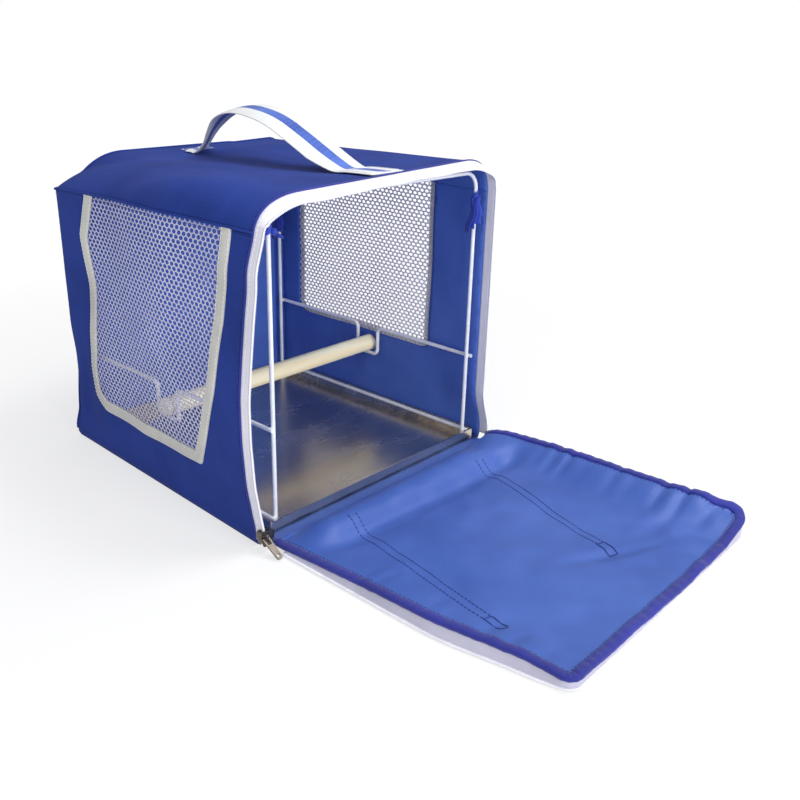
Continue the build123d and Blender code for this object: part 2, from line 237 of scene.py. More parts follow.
def spaced(path: Sequence[Flat], step: float, closed: bool) -> list[Flat]:
    """Points at a rough spacing along a path, with its own corners kept.

    Args:
        path: the path's corners.
        step: the rough distance between points.
        closed: True if the last corner joins the first.

    Returns:
        The points, with doubled ones left out.
    """
    out: list[Flat] = []
    ends = list(path) + ([path[0]] if closed else [])
    for a, b in zip(ends, ends[1:]):
        pieces = max(1, round((Vector(b) - Vector(a)).length / step))
        out += [lerp_flat(a, b, k / pieces) for k in range(pieces)]
    if not closed:
        out.append(tuple(path[-1]))
    doubled = 0.05
    return [p for i, p in enumerate(out) if i == 0 or (Vector(p) - Vector(out[i - 1])).length > doubled]


def inset(path: Sequence[Flat], distance: float) -> list[Flat]:
    """A closed outline that turns left, drawn in.

    Args:
        path: the outline's points.
        distance: how far it is drawn in.

    Returns:
        The inner outline's points, one for each outer one.
    """
    out: list[Flat] = []
    count = len(path)
    for i in range(count):
        a, b, c = (Vector(path[(i + k) % count]) for k in (-1, 0, 1))
        u, v = (b - a).normalized(), (c - b).normalized()
        normal = Vector((-(u.y + v.y), u.x + v.x)).normalized()
        turn = max(0.5, normal.dot(leftward(u)))
        out.append(tuple(b + normal * distance / turn))
    return out


def inside(p: Flat, path: Sequence[Flat]) -> bool:
    """Tells whether a point lies within a closed outline.

    Args:
        p: the point.
        path: the outline.

    Returns:
        True if it does.
    """
    hit = False
    for (x0, y0), (x1, y1) in zip(path, list(path[1:]) + [path[0]]):
        if (y0 > p[1]) != (y1 > p[1]) and p[0] < x0 + (p[1] - y0) * (x1 - x0) / (y1 - y0):
            hit = not hit
    return hit


def gap_to(p: Flat, path: Sequence[Flat]) -> float:
    """Rough distance from a point to the nearest point of an outline."""
    return min((p[0] - q[0]) ** 2 + (p[1] - q[1]) ** 2 for q in path) ** 0.5


def fill(outline: Sequence[Flat], step: float, hole: Sequence[Flat] = ()) -> tuple[list[Flat], list]:
    """Fills a flat outline with small triangles, leaving a hole open.

    Args:
        outline: the closed outer edge.
        step: the rough size of a triangle.
        hole: a closed inner edge, or nothing.

    Returns:
        The points and the triangles.
    """
    loops = [list(outline)] + ([list(hole)] if hole else [])
    verts = [Vector(p) for loop in loops for p in loop]
    edges, start = [], 0
    for loop in loops:
        n = len(loop)
        edges += [(start + k, start + (k + 1) % n) for k in range(n)]
        start += n
    xs, ys = [p[0] for p in outline], [p[1] for p in outline]
    row, y = 0, min(ys) + step / 2
    row_height, edge_room = step * 0.87, step * 0.6
    edge_points = [p for loop in loops for p in loop]
    while y < max(ys):
        x = min(xs) + (step / 2 if row % 2 else 0)
        while x < max(xs):
            p = (x, y)
            if inside(p, outline) and not (hole and inside(p, hole)) and gap_to(p, edge_points) > edge_room:
                verts.append(Vector(p))
            x += step
        y += row_height
        row += 1
    points, _, faces, *_ = delaunay_2d_cdt(verts, edges, [], 0, 1e-4)
    kept = []
    for face in faces:
        c = sum((points[k] for k in face), Vector((0, 0))) / len(face)
        if inside((c.x, c.y), outline) and not (hole and inside((c.x, c.y), hole)):
            kept.append(tuple(face))
    return [(p.x, p.y) for p in points], kept


def linked(name: str, data: bpy.types.ID) -> bpy.types.Object:
    """A new object, linked to the scene.

    Args:
        name: its name.
        data: its mesh, lamp or camera.

    Returns:
        The object.
    """
    obj = bpy.data.objects.new(name, data)
    bpy.context.scene.collection.objects.link(obj)
    return obj


def make(name: str, verts: Iterable[Point], faces: Iterable, material: bpy.types.Material) -> bpy.types.Object:
    """A mesh object from points in millimetres.

    Args:
        name: the piece's name.
        verts: its points.
        faces: its faces, as lists of point numbers.
        material: its finish.

    Returns:
        The object, at the origin.
    """
    mesh = bpy.data.meshes.new(name)
    mesh.from_pydata([Vector(v) * MM for v in verts], [], list(faces))
    mesh.validate()
    mesh.materials.append(material)
    mesh.shade_smooth()
    return linked(name, mesh)


def settle(obj: bpy.types.Object) -> bpy.types.Object:
    """Turns what an object's modifiers make into its plain mesh, and removes them.

    Args:
        obj: the object.

    Returns:
        The same object.
    """
    evaluated = obj.evaluated_get(bpy.context.evaluated_depsgraph_get())
    mesh = bpy.data.meshes.new_from_object(evaluated)
    obj.modifiers.clear()
    obj.data = mesh
    return obj


def thicken(obj: bpy.types.Object, depth: float, lining: bpy.types.Material) -> bpy.types.Object:
    """Gives a sheet its thickness, inwards, with a lining on its inner face.

    Args:
        obj: the sheet.
        depth: the thickness in millimetres.
        lining: the inner face's finish.

    Returns:
        The object.
    """
    solid = obj.modifiers.new("thickness", "SOLIDIFY")
    solid.thickness = depth * MM
    solid.offset = -1
    solid.use_even_offset = False
    obj.data.materials.append(lining)
    solid.material_offset = 1
    return settle(obj)


def outward(obj: bpy.types.Object) -> bpy.types.Object:
    """Turns a closed piece's faces outwards.

    Args:
        obj: the piece, whose doubled points are merged first.

    Returns:
        The same piece.
    """
    bm = bmesh.new()
    bm.from_mesh(obj.data)
    bmesh.ops.remove_doubles(bm, verts=bm.verts, dist=1e-6)
    bmesh.ops.recalc_face_normals(bm, faces=bm.faces)
    bm.to_mesh(obj.data)
    bm.free()
    return obj


def face_up(obj: bpy.types.Object) -> None:
    """Turns a sheet so that its faces look up."""
    if sum(f.normal.z for f in obj.data.polygons) < 0:
        obj.data.flip_normals()


def strip(name: str, rows: Sequence[Sequence[Point]], material: bpy.types.Material, closed_section: bool = True,
          closed_path: bool = False) -> bpy.types.Object:
    """A skin over a row of cross-sections.

    Args:
        name: the piece's name.
        rows: the sections along the path, each a list of points.
        material: its finish.
        closed_section: True if each section is a closed loop.
        closed_path: True if the last section joins the first; an open path's ends are closed.

    Returns:
        The object, with its faces outwards if it is closed.
    """
    n, m = len(rows), len(rows[0])
    verts = [p for r in rows for p in r]
    faces = []
    for i in range(n if closed_path else n - 1):
        for k in range(m if closed_section else m - 1):
            a, b = i * m + k, i * m + (k + 1) % m
            c, d = ((i + 1) % n) * m + (k + 1) % m, ((i + 1) % n) * m + k
            faces.append((a, b, c, d))
    if closed_section and not closed_path:
        faces.append(tuple(range(m - 1, -1, -1)))
        faces.append(tuple((n - 1) * m + k for k in range(m)))
    obj = make(name, verts, faces, material)
    return outward(obj) if closed_section else obj


def piece(obj: bpy.types.Object, body: Body, replaces: Sequence[str] = ()) -> bpy.types.Object:
    """Makes a finished piece ride on its body, in place of CAD nodes.

    Args:
        obj: the piece.
        body: what it moves with.
        replaces: the CAD nodes that it stands for.

    Returns:
        The same piece.
    """
    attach(obj, body.value)
    if replaces:
        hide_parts(*replaces)
    log.info("%s: %d faces on %s", obj.name, len(obj.data.polygons), body.value)
    return obj


# ---------------------------------------------------------------------------------------------
# shader groups and finishes
# ---------------------------------------------------------------------------------------------


class NodeGroup:
    """A shader node group under construction."""

    def __init__(self, name: str, inputs: dict[str, float], outputs: dict[str, str]) -> None:
        """Makes the group and its sockets.

        Args:
            name: the group's name.
            inputs: each number input and its default.
            outputs: each output and its socket type.
        """
        self.tree = bpy.data.node_groups.new(name, "ShaderNodeTree")
        for key, value in inputs.items():
            socket = self.tree.interface.new_socket(key, in_out="INPUT", socket_type="NodeSocketFloat")
            socket.default_value = value
        for key, kind in outputs.items():
            self.tree.interface.new_socket(key, in_out="OUTPUT", socket_type=kind)
        self.source = self.tree.nodes.new("NodeGroupInput")
        self.sink = self.tree.nodes.new("NodeGroupOutput")

    def add(self, kind: str, links: dict | None = None, **settings) -> bpy.types.Node:
        """Adds a node, sets its options and links or sets its inputs."""
        return add_node(self.tree, kind, links, **settings)


def add_node(tree: bpy.types.NodeTree, kind: str, links: dict | None = None, **settings) -> bpy.types.Node:
    """Adds a node to a tree.

    Args:
        tree: the node tree.
        kind: the node's type name.
        links: input name or number to a value or to an output socket.
        settings: the node's own options.

    Returns:
        The node.
    """
    node = tree.nodes.new(kind)
    for key, value in settings.items():
        setattr(node, key, value)
    for key, value in (links or {}).items():
        if isinstance(value, bpy.types.NodeSocket):
            tree.links.new(value, node.inputs[key])
        else:
            node.inputs[key].default_value = value
    return node


def math_node(tree: bpy.types.NodeTree, operation: str, *terms: float | bpy.types.NodeSocket) -> bpy.types.NodeSocket:
    """One sum in a shader tree, whose terms are numbers or sockets."""
    return add_node(tree, "ShaderNodeMath", dict(enumerate(terms)), operation=operation).outputs[0]


def weave_group() -> bpy.types.NodeTree:
    """Woven cloth on three axes: a height for a bump and a mask for its colour.

    Returns:
        The node group.
    """
    group = NodeGroup("cloth_weave", {"Pitch": 0.0007, "Slub": 0.5},
                      {"Height": "NodeSocketFloat", "Tone": "NodeSocketFloat"})
    place = group.add("ShaderNodeTexCoord").outputs["Object"]
    scale = math_node(group.tree, "DIVIDE", 1.0, group.source.outputs["Pitch"])
    threads = []
    spread = add_node(group.tree, "ShaderNodeVectorMath", {0: place, "Scale": scale}, operation="SCALE").outputs[0]
    split = add_node(group.tree, "ShaderNodeSeparateXYZ", {0: spread})
    for axis in range(3):
        turn = math_node(group.tree, "MULTIPLY", split.outputs[axis], math.tau)
        threads.append(math_node(group.tree, "SINE", turn))
    across = math_node(group.tree, "MULTIPLY", threads[0], threads[1])
    upright = math_node(group.tree, "MULTIPLY", math_node(group.tree, "ADD", threads[0], threads[1]), threads[2])
    cloth = math_node(group.tree, "ADD", across, upright)
    slub = group.add("ShaderNodeTexNoise", {"Vector": place, "Scale": 260.0, "Detail": 3.0})
    rough = math_node(group.tree, "MULTIPLY", slub.outputs["Fac"], group.source.outputs["Slub"])
    total = math_node(group.tree, "MULTIPLY_ADD", cloth, 0.25, rough)
    group.tree.links.new(total, group.sink.inputs["Height"])
    cloud = group.add("ShaderNodeTexNoise", {"Vector": place, "Scale": 14.0, "Detail": 5.0, "Roughness": 0.6})
    tone = math_node(group.tree, "MULTIPLY_ADD", cloth, 0.06, cloud.outputs["Fac"])
    group.tree.links.new(tone, group.sink.inputs["Tone"])
    return group.tree


def wear_group() -> bpy.types.NodeTree:
    """Fine scuffs and a soft cloudiness for hard surfaces.

    Returns:
        The node group.
    """
    group = NodeGroup("fine_wear", {"Scale": 60.0, "Stretch": 1.0},
                      {"Height": "NodeSocketFloat", "Mask": "NodeSocketFloat"})
    place = group.add("ShaderNodeTexCoord").outputs["Object"]
    stretched = add_node(group.tree, "ShaderNodeCombineXYZ", {0: 1.0, 1: group.source.outputs["Stretch"], 2: 1.0})
    spread = add_node(group.tree, "ShaderNodeVectorMath", {0: place, 1: stretched.outputs[0]}, operation="MULTIPLY")
    grain = group.add("ShaderNodeTexNoise", {"Vector": spread.outputs[0], "Scale": group.source.outputs["Scale"],
                                             "Detail": 6.0, "Roughness": 0.65})
    group.tree.links.new(grain.outputs["Fac"], group.sink.inputs["Height"])
    ramp = group.add("ShaderNodeMapRange", {"Value": grain.outputs["Fac"], "From Min": 0.35, "From Max": 0.7})
    group.tree.links.new(ramp.outputs[0], group.sink.inputs["Mask"])
    return group.tree


WEAVE = weave_group()
WEAR = wear_group()


def dressed(name: str) -> tuple[bpy.types.NodeTree, bpy.types.Node, bpy.types.Material]:
    """A new material, ready for nodes.

    Args:
        name: the material's name.

    Returns:
        Its node tree, its Principled shader and the material.
    """
    material = bpy.data.materials.new(name)
    material.use_nodes = True
    tree = material.node_tree
    return tree, tree.nodes["Principled BSDF"], material


def shade(tree: bpy.types.NodeTree, mask: bpy.types.NodeSocket, low: Color, high: Color,
          span: Flat = (0.3, 0.7)) -> bpy.types.NodeSocket:
    """A colour between two shades, following a mask.

    Args:
        tree: the material's nodes.
        mask: what the colour follows.
        low: the colour where the mask is low.
        high: the colour where it is high.
        span: the mask's values at which the two are reached.

    Returns:
        The colour's socket.
    """
    ramp = add_node(tree, "ShaderNodeValToRGB", {0: mask})
    for element, place, colour in zip(ramp.color_ramp.elements, span, (low, high)):
        element.position = place
        element.color = (*colour, 1.0)
    return ramp.outputs[0]


def raise_by(tree: bpy.types.NodeTree, shader: bpy.types.Node, height: bpy.types.NodeSocket, depth: float,
             strength: float = 0.5) -> None:
    """Feeds a height through a bump into the shader's normal, at a depth in metres."""
    bump_node = add_node(tree, "ShaderNodeBump", {"Height": height, "Distance": depth, "Strength": strength})
    tree.links.new(bump_node.outputs[0], shader.inputs["Normal"])


@dataclass(frozen=True)
class Cloth:
    """A woven finish."""

    name: str
    low: Color
    high: Color
    pitch: float = 0.0007
    depth: float = 0.00012
    roughness: float = 0.75
    sheen: float = 0.15
    sheen_tint: Color = (1.0, 1.0, 1.0)
    coat: float = 0.0
    gloss: float = 0.35

    def material(self) -> bpy.types.Material:
        """The cloth's material.

        Returns:
            The material, with its nodes.
        """
        tree, shader, material = dressed(self.name)
        weave = add_node(tree, "ShaderNodeGroup", node_tree=WEAVE)
        weave.inputs["Pitch"].default_value = self.pitch
        tree.links.new(shade(tree, weave.outputs["Tone"], self.low, self.high), shader.inputs["Base Color"])
        shader.inputs["Roughness"].default_value = self.roughness
        shader.inputs["Sheen Weight"].default_value = self.sheen
        shader.inputs["Sheen Tint"].default_value = (*self.sheen_tint, 1.0)
        shader.inputs["Specular IOR Level"].default_value = self.gloss
        if self.coat:
            shader.inputs["Coat Weight"].default_value = self.coat
            shader.inputs["Coat Roughness"].default_value = 0.45
        raise_by(tree, shader, weave.outputs["Height"], self.depth)
        return material


@dataclass(frozen=True)
class Hard:
    """A smooth hard finish, such as coated wire, sheet metal or nylon."""

    name: str
    low: Color
    high: Color
    roughness: Flat = (0.3, 0.4)
    metallic: float = 0.0
    scale: float = 60.0
    stretch: float = 1.0
    depth: float = 0.00005

    def material(self) -> bpy.types.Material:
        """The finish's material.

        Returns:
            The material, with its nodes.
        """
        tree, shader, material = dressed(self.name)
        wear = add_node(tree, "ShaderNodeGroup", node_tree=WEAR)
        wear.inputs["Scale"].default_value = self.scale
        wear.inputs["Stretch"].default_value = self.stretch
        colour = shade(tree, wear.outputs["Mask"], self.low, self.high, (0.0, 1.0))
        tree.links.new(colour, shader.inputs["Base Color"])
        rough = add_node(tree, "ShaderNodeMapRange", {"Value": wear.outputs["Mask"], "To Min": self.roughness[0],
                                                      "To Max": self.roughness[1]})
        tree.links.new(rough.outputs[0], shader.inputs["Roughness"])
        shader.inputs["Metallic"].default_value = self.metallic
        raise_by(tree, shader, wear.outputs["Height"], self.depth, 0.3)
        return material


@dataclass(frozen=True)
class Timber:
    """Pale turned wood with its grain along X."""

    name: str = "pale_perch_wood"
    low: Color = (0.97, 0.80, 0.49)
    high: Color = (1.0, 0.96, 0.72)

    def material(self) -> bpy.types.Material:
        """The wood's material.

        Returns:
            The material, with its nodes.
        """
        tree, shader, material = dressed(self.name)
        place = add_node(tree, "ShaderNodeTexCoord").outputs["Object"]
        run = add_node(tree, "ShaderNodeMapping", {"Vector": place, "Scale": (6.0, 160.0, 160.0)})
        grain = add_node(tree, "ShaderNodeTexNoise", {"Vector": run.outputs[0], "Scale": 1.4, "Detail": 8.0,
                                                      "Roughness": 0.6, "Distortion": 0.4})
        colour = shade(tree, grain.outputs["Fac"], self.low, self.high, (0.3, 0.62))
        tree.links.new(colour, shader.inputs["Base Color"])
        shader.inputs["Roughness"].default_value = 0.62
        raise_by(tree, shader, grain.outputs["Fac"], 0.0002, 0.35)
        return material


class Finishes:
    """Every finish of the carrier, made once."""

    def __init__(self) -> None:
        """Makes the materials."""
        self.cover = Cloth("royal_blue_cover_cloth", (0.011, 0.033, 0.212), (0.019, 0.050, 0.298),
                           roughness=0.85, sheen=0.02, gloss=0.18).material()
        # painted light and shade: the lining and the inner wall face below are lit and shaded copies of one lining
        # cloth; the inner wall face is painted lighter for the shaded inside of the cover
        self.lining = Cloth("blue_coated_lining", (0.043, 0.099, 0.375), (0.064, 0.133, 0.46), pitch=0.0005,
                            depth=0.00006, roughness=0.42, sheen=0.03, gloss=0.28).material()
        self.inner = Cloth("blue_inner_wall_face", (0.055, 0.122, 0.47), (0.082, 0.166, 0.57), pitch=0.0005,
                           depth=0.00006, roughness=0.5, sheen=0.03, gloss=0.28).material()
        self.piping = Cloth("violet_blue_binding_tape", (0.010, 0.015, 0.19), (0.019, 0.027, 0.30), pitch=0.0009,
                            depth=0.00015, roughness=0.7, sheen=0.2).material()
        self.tape = Cloth("white_zip_tape", (0.67, 0.66, 0.75), (0.82, 0.81, 0.89), pitch=0.0011, depth=0.0002,
                          roughness=0.85).material()
        # painted shade: the flap's zip tape is a darker, lavender-grey copy of the white zip tape, standing for the
        # shade under the flap's edge
        self.painted_shade_tape = Cloth("lavender_white_flap_tape", (0.44, 0.43, 0.54), (0.58, 0.57, 0.68), pitch=0.0011,
                                depth=0.0002, roughness=0.9, gloss=0.1).material()
        self.window_tape = Cloth("grey_white_window_binding", (0.50, 0.50, 0.46), (0.72, 0.71, 0.66), pitch=0.0013,
                                 depth=0.00025, roughness=0.9).material()
        self.webbing = Cloth("white_handle_webbing", (0.70, 0.71, 0.71), (0.84, 0.85, 0.86), pitch=0.0014,
                             depth=0.0003, roughness=0.8).material()
        self.stripe = Cloth("blue_webbing_stripe", (0.008, 0.03, 0.27), (0.10, 0.22, 0.72), pitch=0.0026,
                            depth=0.0003, roughness=0.75).material()
        # painted light and shade: the two nets are lit and shaded copies of one white net; the far window's net below
        # is painted lighter than the near window and pocket net
        self.net = Cloth("white_window_net", (0.46, 0.45, 0.64), (0.64, 0.63, 0.80), pitch=0.0004, depth=0.00008,
                         roughness=0.7).material()
        self.lit_far_net = Cloth("pale_window_net", (0.61, 0.60, 0.72), (0.76, 0.75, 0.86), pitch=0.0004, depth=0.00008,
                             roughness=0.7).material()
        self.ribbon = Cloth("bright_blue_tie_ribbon", (0.018, 0.042, 0.36), (0.032, 0.070, 0.50), pitch=0.0009,
                            depth=0.00012, roughness=0.6).material()
        self.thread = Cloth("blue_sewing_thread", (0.010, 0.028, 0.20), (0.020, 0.050, 0.30), pitch=0.0004,
                            depth=0.00005, roughness=0.5).material()
        self.white_thread = Cloth("white_sewing_thread", (0.75, 0.75, 0.76), (0.9, 0.9, 0.92), pitch=0.0004,
                                  depth=0.00005, roughness=0.6).material()
        self.coil = Hard("white_nylon_coil", (0.80, 0.80, 0.86), (0.90, 0.90, 0.95), (0.35, 0.5)).material()
        self.wire = Hard("white_coated_wire", (0.80, 0.82, 0.86), (0.90, 0.91, 0.94), (0.22, 0.36)).material()
        self.tray = Hard("bright_tray_sheet", (0.66, 0.59, 0.48), (0.82, 0.75, 0.63), (0.24, 0.30), 1.0, 9.0,
                         3.0, 0.00001).material()
        self.metal = Hard("worn_zip_metal", (0.09, 0.075, 0.065), (0.27, 0.24, 0.21), (0.34, 0.55), 1.0,
                          220.0).material()
        self.wood = Timber().material()


# ---------------------------------------------------------------------------------------------
# repeated pieces: instances along a path or on points
# ---------------------------------------------------------------------------------------------


@dataclass(frozen=True)
class Row:
    """A row of small copies: their spacing, and each one's length, width and height, in millimetres."""

    pitch: float
    size: Point


WINDOW_ROW = Row(3.4, (2.4, 0.55, 0.5))
ROOF_ROW = Row(3.6, (2.6, 0.5, 0.5))
RIM_ROW = Row(3.4, (2.5, 0.5, 0.5))
FLAP_ROW = Row(3.8, (2.5, 0.9, 0.6))
TACK_ROW = Row(1.5, (1.6, 0.9, 0.7))
STRAP_ROW = Row(2.6, (2.0, 0.55, 0.5))
RIM_COIL = Row(1.5, (0.95, 2.0, 2.0))
FLAP_COIL = Row(1.5, (0.95, 2.0, 1.8))


def copied(name: str, spots: Sequence[Vector], along: Sequence[Vector], facing: Sequence[Vector], size: Point,
           unit: bpy.types.Object, material: bpy.types.Material) -> bpy.types.Object:
    """Copies of a unit on points, as one plain mesh.

    Args:
        name: the piece's name.
        spots: where the copies stand, in metres.
        along: each copy's own X direction.
        facing: each copy's own Z direction.
        size: the scale of a copy along, across and up.
        unit: the small shape.
        material: its finish.

    Returns:
        The object.
    """
    mesh = bpy.data.meshes.new(name)
    mesh.from_pydata(spots, [], [])
    for key, values in (("run", along), ("face", facing)):
        layer = mesh.attributes.new(key, "FLOAT_VECTOR", "POINT")
        layer.data.foreach_set("vector", [c for v in values for c in v])
    obj = linked(name, mesh)
    tree = point_tree(unit, material)
    modifier = obj.modifiers.new("copies", "NODES")
    modifier.node_group = tree
    socket = {item.name: item.identifier for item in tree.interface.items_tree if item.in_out == "INPUT"}
    modifier[socket["Size"]] = size
    return settle(obj)


def place_along(name: str, paths: Sequence[Sequence[Point]], up: Callable[[Vector], Vector], row: Row,
                unit: bpy.types.Object, material: bpy.types.Material) -> bpy.types.Object:
    """Copies of a unit at an even spacing along paths, turned along the path.

    Args:
        name: the piece's name.
        paths: each path's points in millimetres.
        up: gives the facing direction at a place in millimetres.
        row: the copies' spacing and size.
        unit: the small shape.
        material: its finish.

    Returns:
        The object.
    """
    verts, along, facing = [], [], []
    for path in paths:
        points = [Vector(p) for p in path]
        carried = row.pitch / 2
        for a, b in zip(points, points[1:]):
            run = (b - a).length
            while carried <= run and run > 0:
                spot = a.lerp(b, carried / run)
                verts.append(spot * MM)
                along.append((b - a).normalized())
                facing.append(up(spot))
                carried += row.pitch
            carried -= run
    return copied(name, verts, along, facing, tuple(s * MM for s in row.size), unit, material)


_POINT_TREES: dict[tuple[str, str], bpy.types.NodeTree] = {}


def point_tree(unit: bpy.types.Object, material: bpy.types.Material) -> bpy.types.NodeTree:
    """The node tree that puts a unit on every point of a mesh.

    Args:
        unit: the small shape, lying along X with its top towards Z.
        material: the finish of the copies.

    Returns:
        The geometry node tree, made once for each pair.
    """
    key = (unit.name, material.name)
    if key in _POINT_TREES:
        return _POINT_TREES[key]
    tree = bpy.data.node_groups.new(f"{unit.name}_copies", "GeometryNodeTree")
    tree.interface.new_socket("Geometry", in_out="INPUT", socket_type="NodeSocketGeometry")
    size = tree.interface.new_socket("Size", in_out="INPUT", socket_type="NodeSocketVector")
    size.default_value = (MM, MM, MM)
    tree.interface.new_socket("Geometry", in_out="OUTPUT", socket_type="NodeSocketGeometry")
    source, sink = tree.nodes.new("NodeGroupInput"), tree.nodes.new("NodeGroupOutput")
    axes = [add_node(tree, "GeometryNodeInputNamedAttribute", {"Name": key_name}, data_type="FLOAT_VECTOR")
            for key_name in ("run", "face")]
    facing = add_node(tree, "FunctionNodeAxesToRotation",
                      {"Primary Axis": axes[0].outputs[0], "Secondary Axis": axes[1].outputs[0]},
                      primary_axis="X", secondary_axis="Z")
    shape = add_node(tree, "GeometryNodeObjectInfo", {"Object": unit})
    copies = add_node(tree, "GeometryNodeInstanceOnPoints",
                      {"Points": source.outputs["Geometry"], "Instance": shape.outputs["Geometry"],
                       "Rotation": facing.outputs[0], "Scale": source.outputs["Size"]})
    real = add_node(tree, "GeometryNodeRealizeInstances", {"Geometry": copies.outputs[0]})
    finish = add_node(tree, "GeometryNodeSetMaterial", {"Geometry": real.outputs[0], "Material": material})
    tree.links.new(finish.outputs[0], sink.inputs[0])
    _POINT_TREES[key] = tree
    return tree


def stitch_unit() -> bpy.types.Object:
    """One raised stitch of unit size, along X with its top towards Z.

    Returns:
        The stitch.
    """
    sections = [(-0.5, 0.25), (-0.36, 0.8), (0.0, 1.0), (0.36, 0.8), (0.5, 0.25)]
    rows = [[(x / MM, 0.5 * math.cos(a) * swell / MM, (0.5 * math.sin(a) * swell + swell / 2 - 0.4) / MM)
             for a in turns(6)] for x, swell in sections]
    return strip("stitch_unit", rows, bpy.data.materials[0])


def tooth_unit() -> bpy.types.Object:
    """One turn of a zip coil: a rounded bar across the tape, wider at its head.

    Returns:
        The turn, of unit size.
    """
    sections = [(-0.5, 0.55), (-0.42, 0.85), (0.1, 0.8), (0.36, 1.0), (0.5, 0.7)]
    rows = [[(0.5 * math.cos(a) * swell / MM, y / MM, 0.5 * math.sin(a) * swell / MM) for a in turns(8)]
            for y, swell in sections]
    return strip("tooth_unit", rows, bpy.data.materials[0])


@dataclass(frozen=True)
class Net:
    """Knitted window net: staggered oval holes in a thin flat sheet."""

    pitch: float = 5.8
    row: float = 3.5
    hole: Flat = (4.95, 3.4)
    thickness: float = 0.45

    def cell(self, material: bpy.types.Material) -> bpy.types.Object:
        """One hole with half of the strands round it, flat in X and Y.

        Args:
            material: the net's finish.

        Returns:
            The cell.
        """
        half, reach = self.pitch / 2, self.row * 2 / 3
        corners = [(half, reach / 2), (0.0, reach), (-half, reach / 2), (-half, -reach / 2), (0.0, -reach),
                   (half, -reach / 2)]
        outer = []
        for a, b in zip(corners, corners[1:] + corners[:1]):
            outer += [a, ((a[0] + b[0]) / 2, (a[1] + b[1]) / 2)]
        inner = [(math.cos(angle) * self.hole[0] / 2, math.sin(angle) * self.hole[1] / 2)
                 for angle in (math.atan2(y, x) for x, y in outer)]
        n, t = len(outer), self.thickness / 2
        verts = [(x, y, z) for z in (t, -t) for ring in (outer, inner) for x, y in ring]
        faces = []
        for k in range(n):
            m = (k + 1) % n
            faces += [(k, m, n + m, n + k), (2 * n + k, 3 * n + k, 3 * n + m, 2 * n + m),
                      (n + k, n + m, 3 * n + m, 3 * n + k)]
        return make("net_cell", verts, faces, material)

    def panel(self, name: str, outline: Sequence[Flat], place: Callable[[float, float, float], Point],
              material: bpy.types.Material) -> bpy.types.Object:
        """A net cut to an outline and laid on a surface.

        Args:
            name: the piece's name.
            outline: the closed outline in the net's own plane.
            place: gives the point in space from across, along and the height above the surface.
            material: the net's finish.

        Returns:
            The object.
        """
        xs, ys = [p[0] for p in outline], [p[1] for p in outline]
        spots, row, y = [], 0, min(ys)
        while y < max(ys):
            x = min(xs) + (self.pitch / 2 if row % 2 else 0.0)
            while x < max(xs):
                if inside((x, y), outline):
                    spots.append(Vector((x, y, 0.0)) * MM)
                x += self.pitch
            y += self.row
            row += 1
        unit = self.cell(material)
        across = Vector((1.0, 0.0, 0.0))
        obj = copied(name, spots, [across] * len(spots), [UP] * len(spots), (1.0, 1.0, 1.0), unit, material)
        bpy.data.objects.remove(unit)
        _POINT_TREES.clear()
        for vertex in obj.data.vertices:
            x, y, z = vertex.co / MM
            vertex.co = Vector(place(x, y, z)) * MM
        return obj


FAR_NET = Net(hole=(4.4, 3.0))


# ---------------------------------------------------------------------------------------------
# the cover
# ---------------------------------------------------------------------------------------------


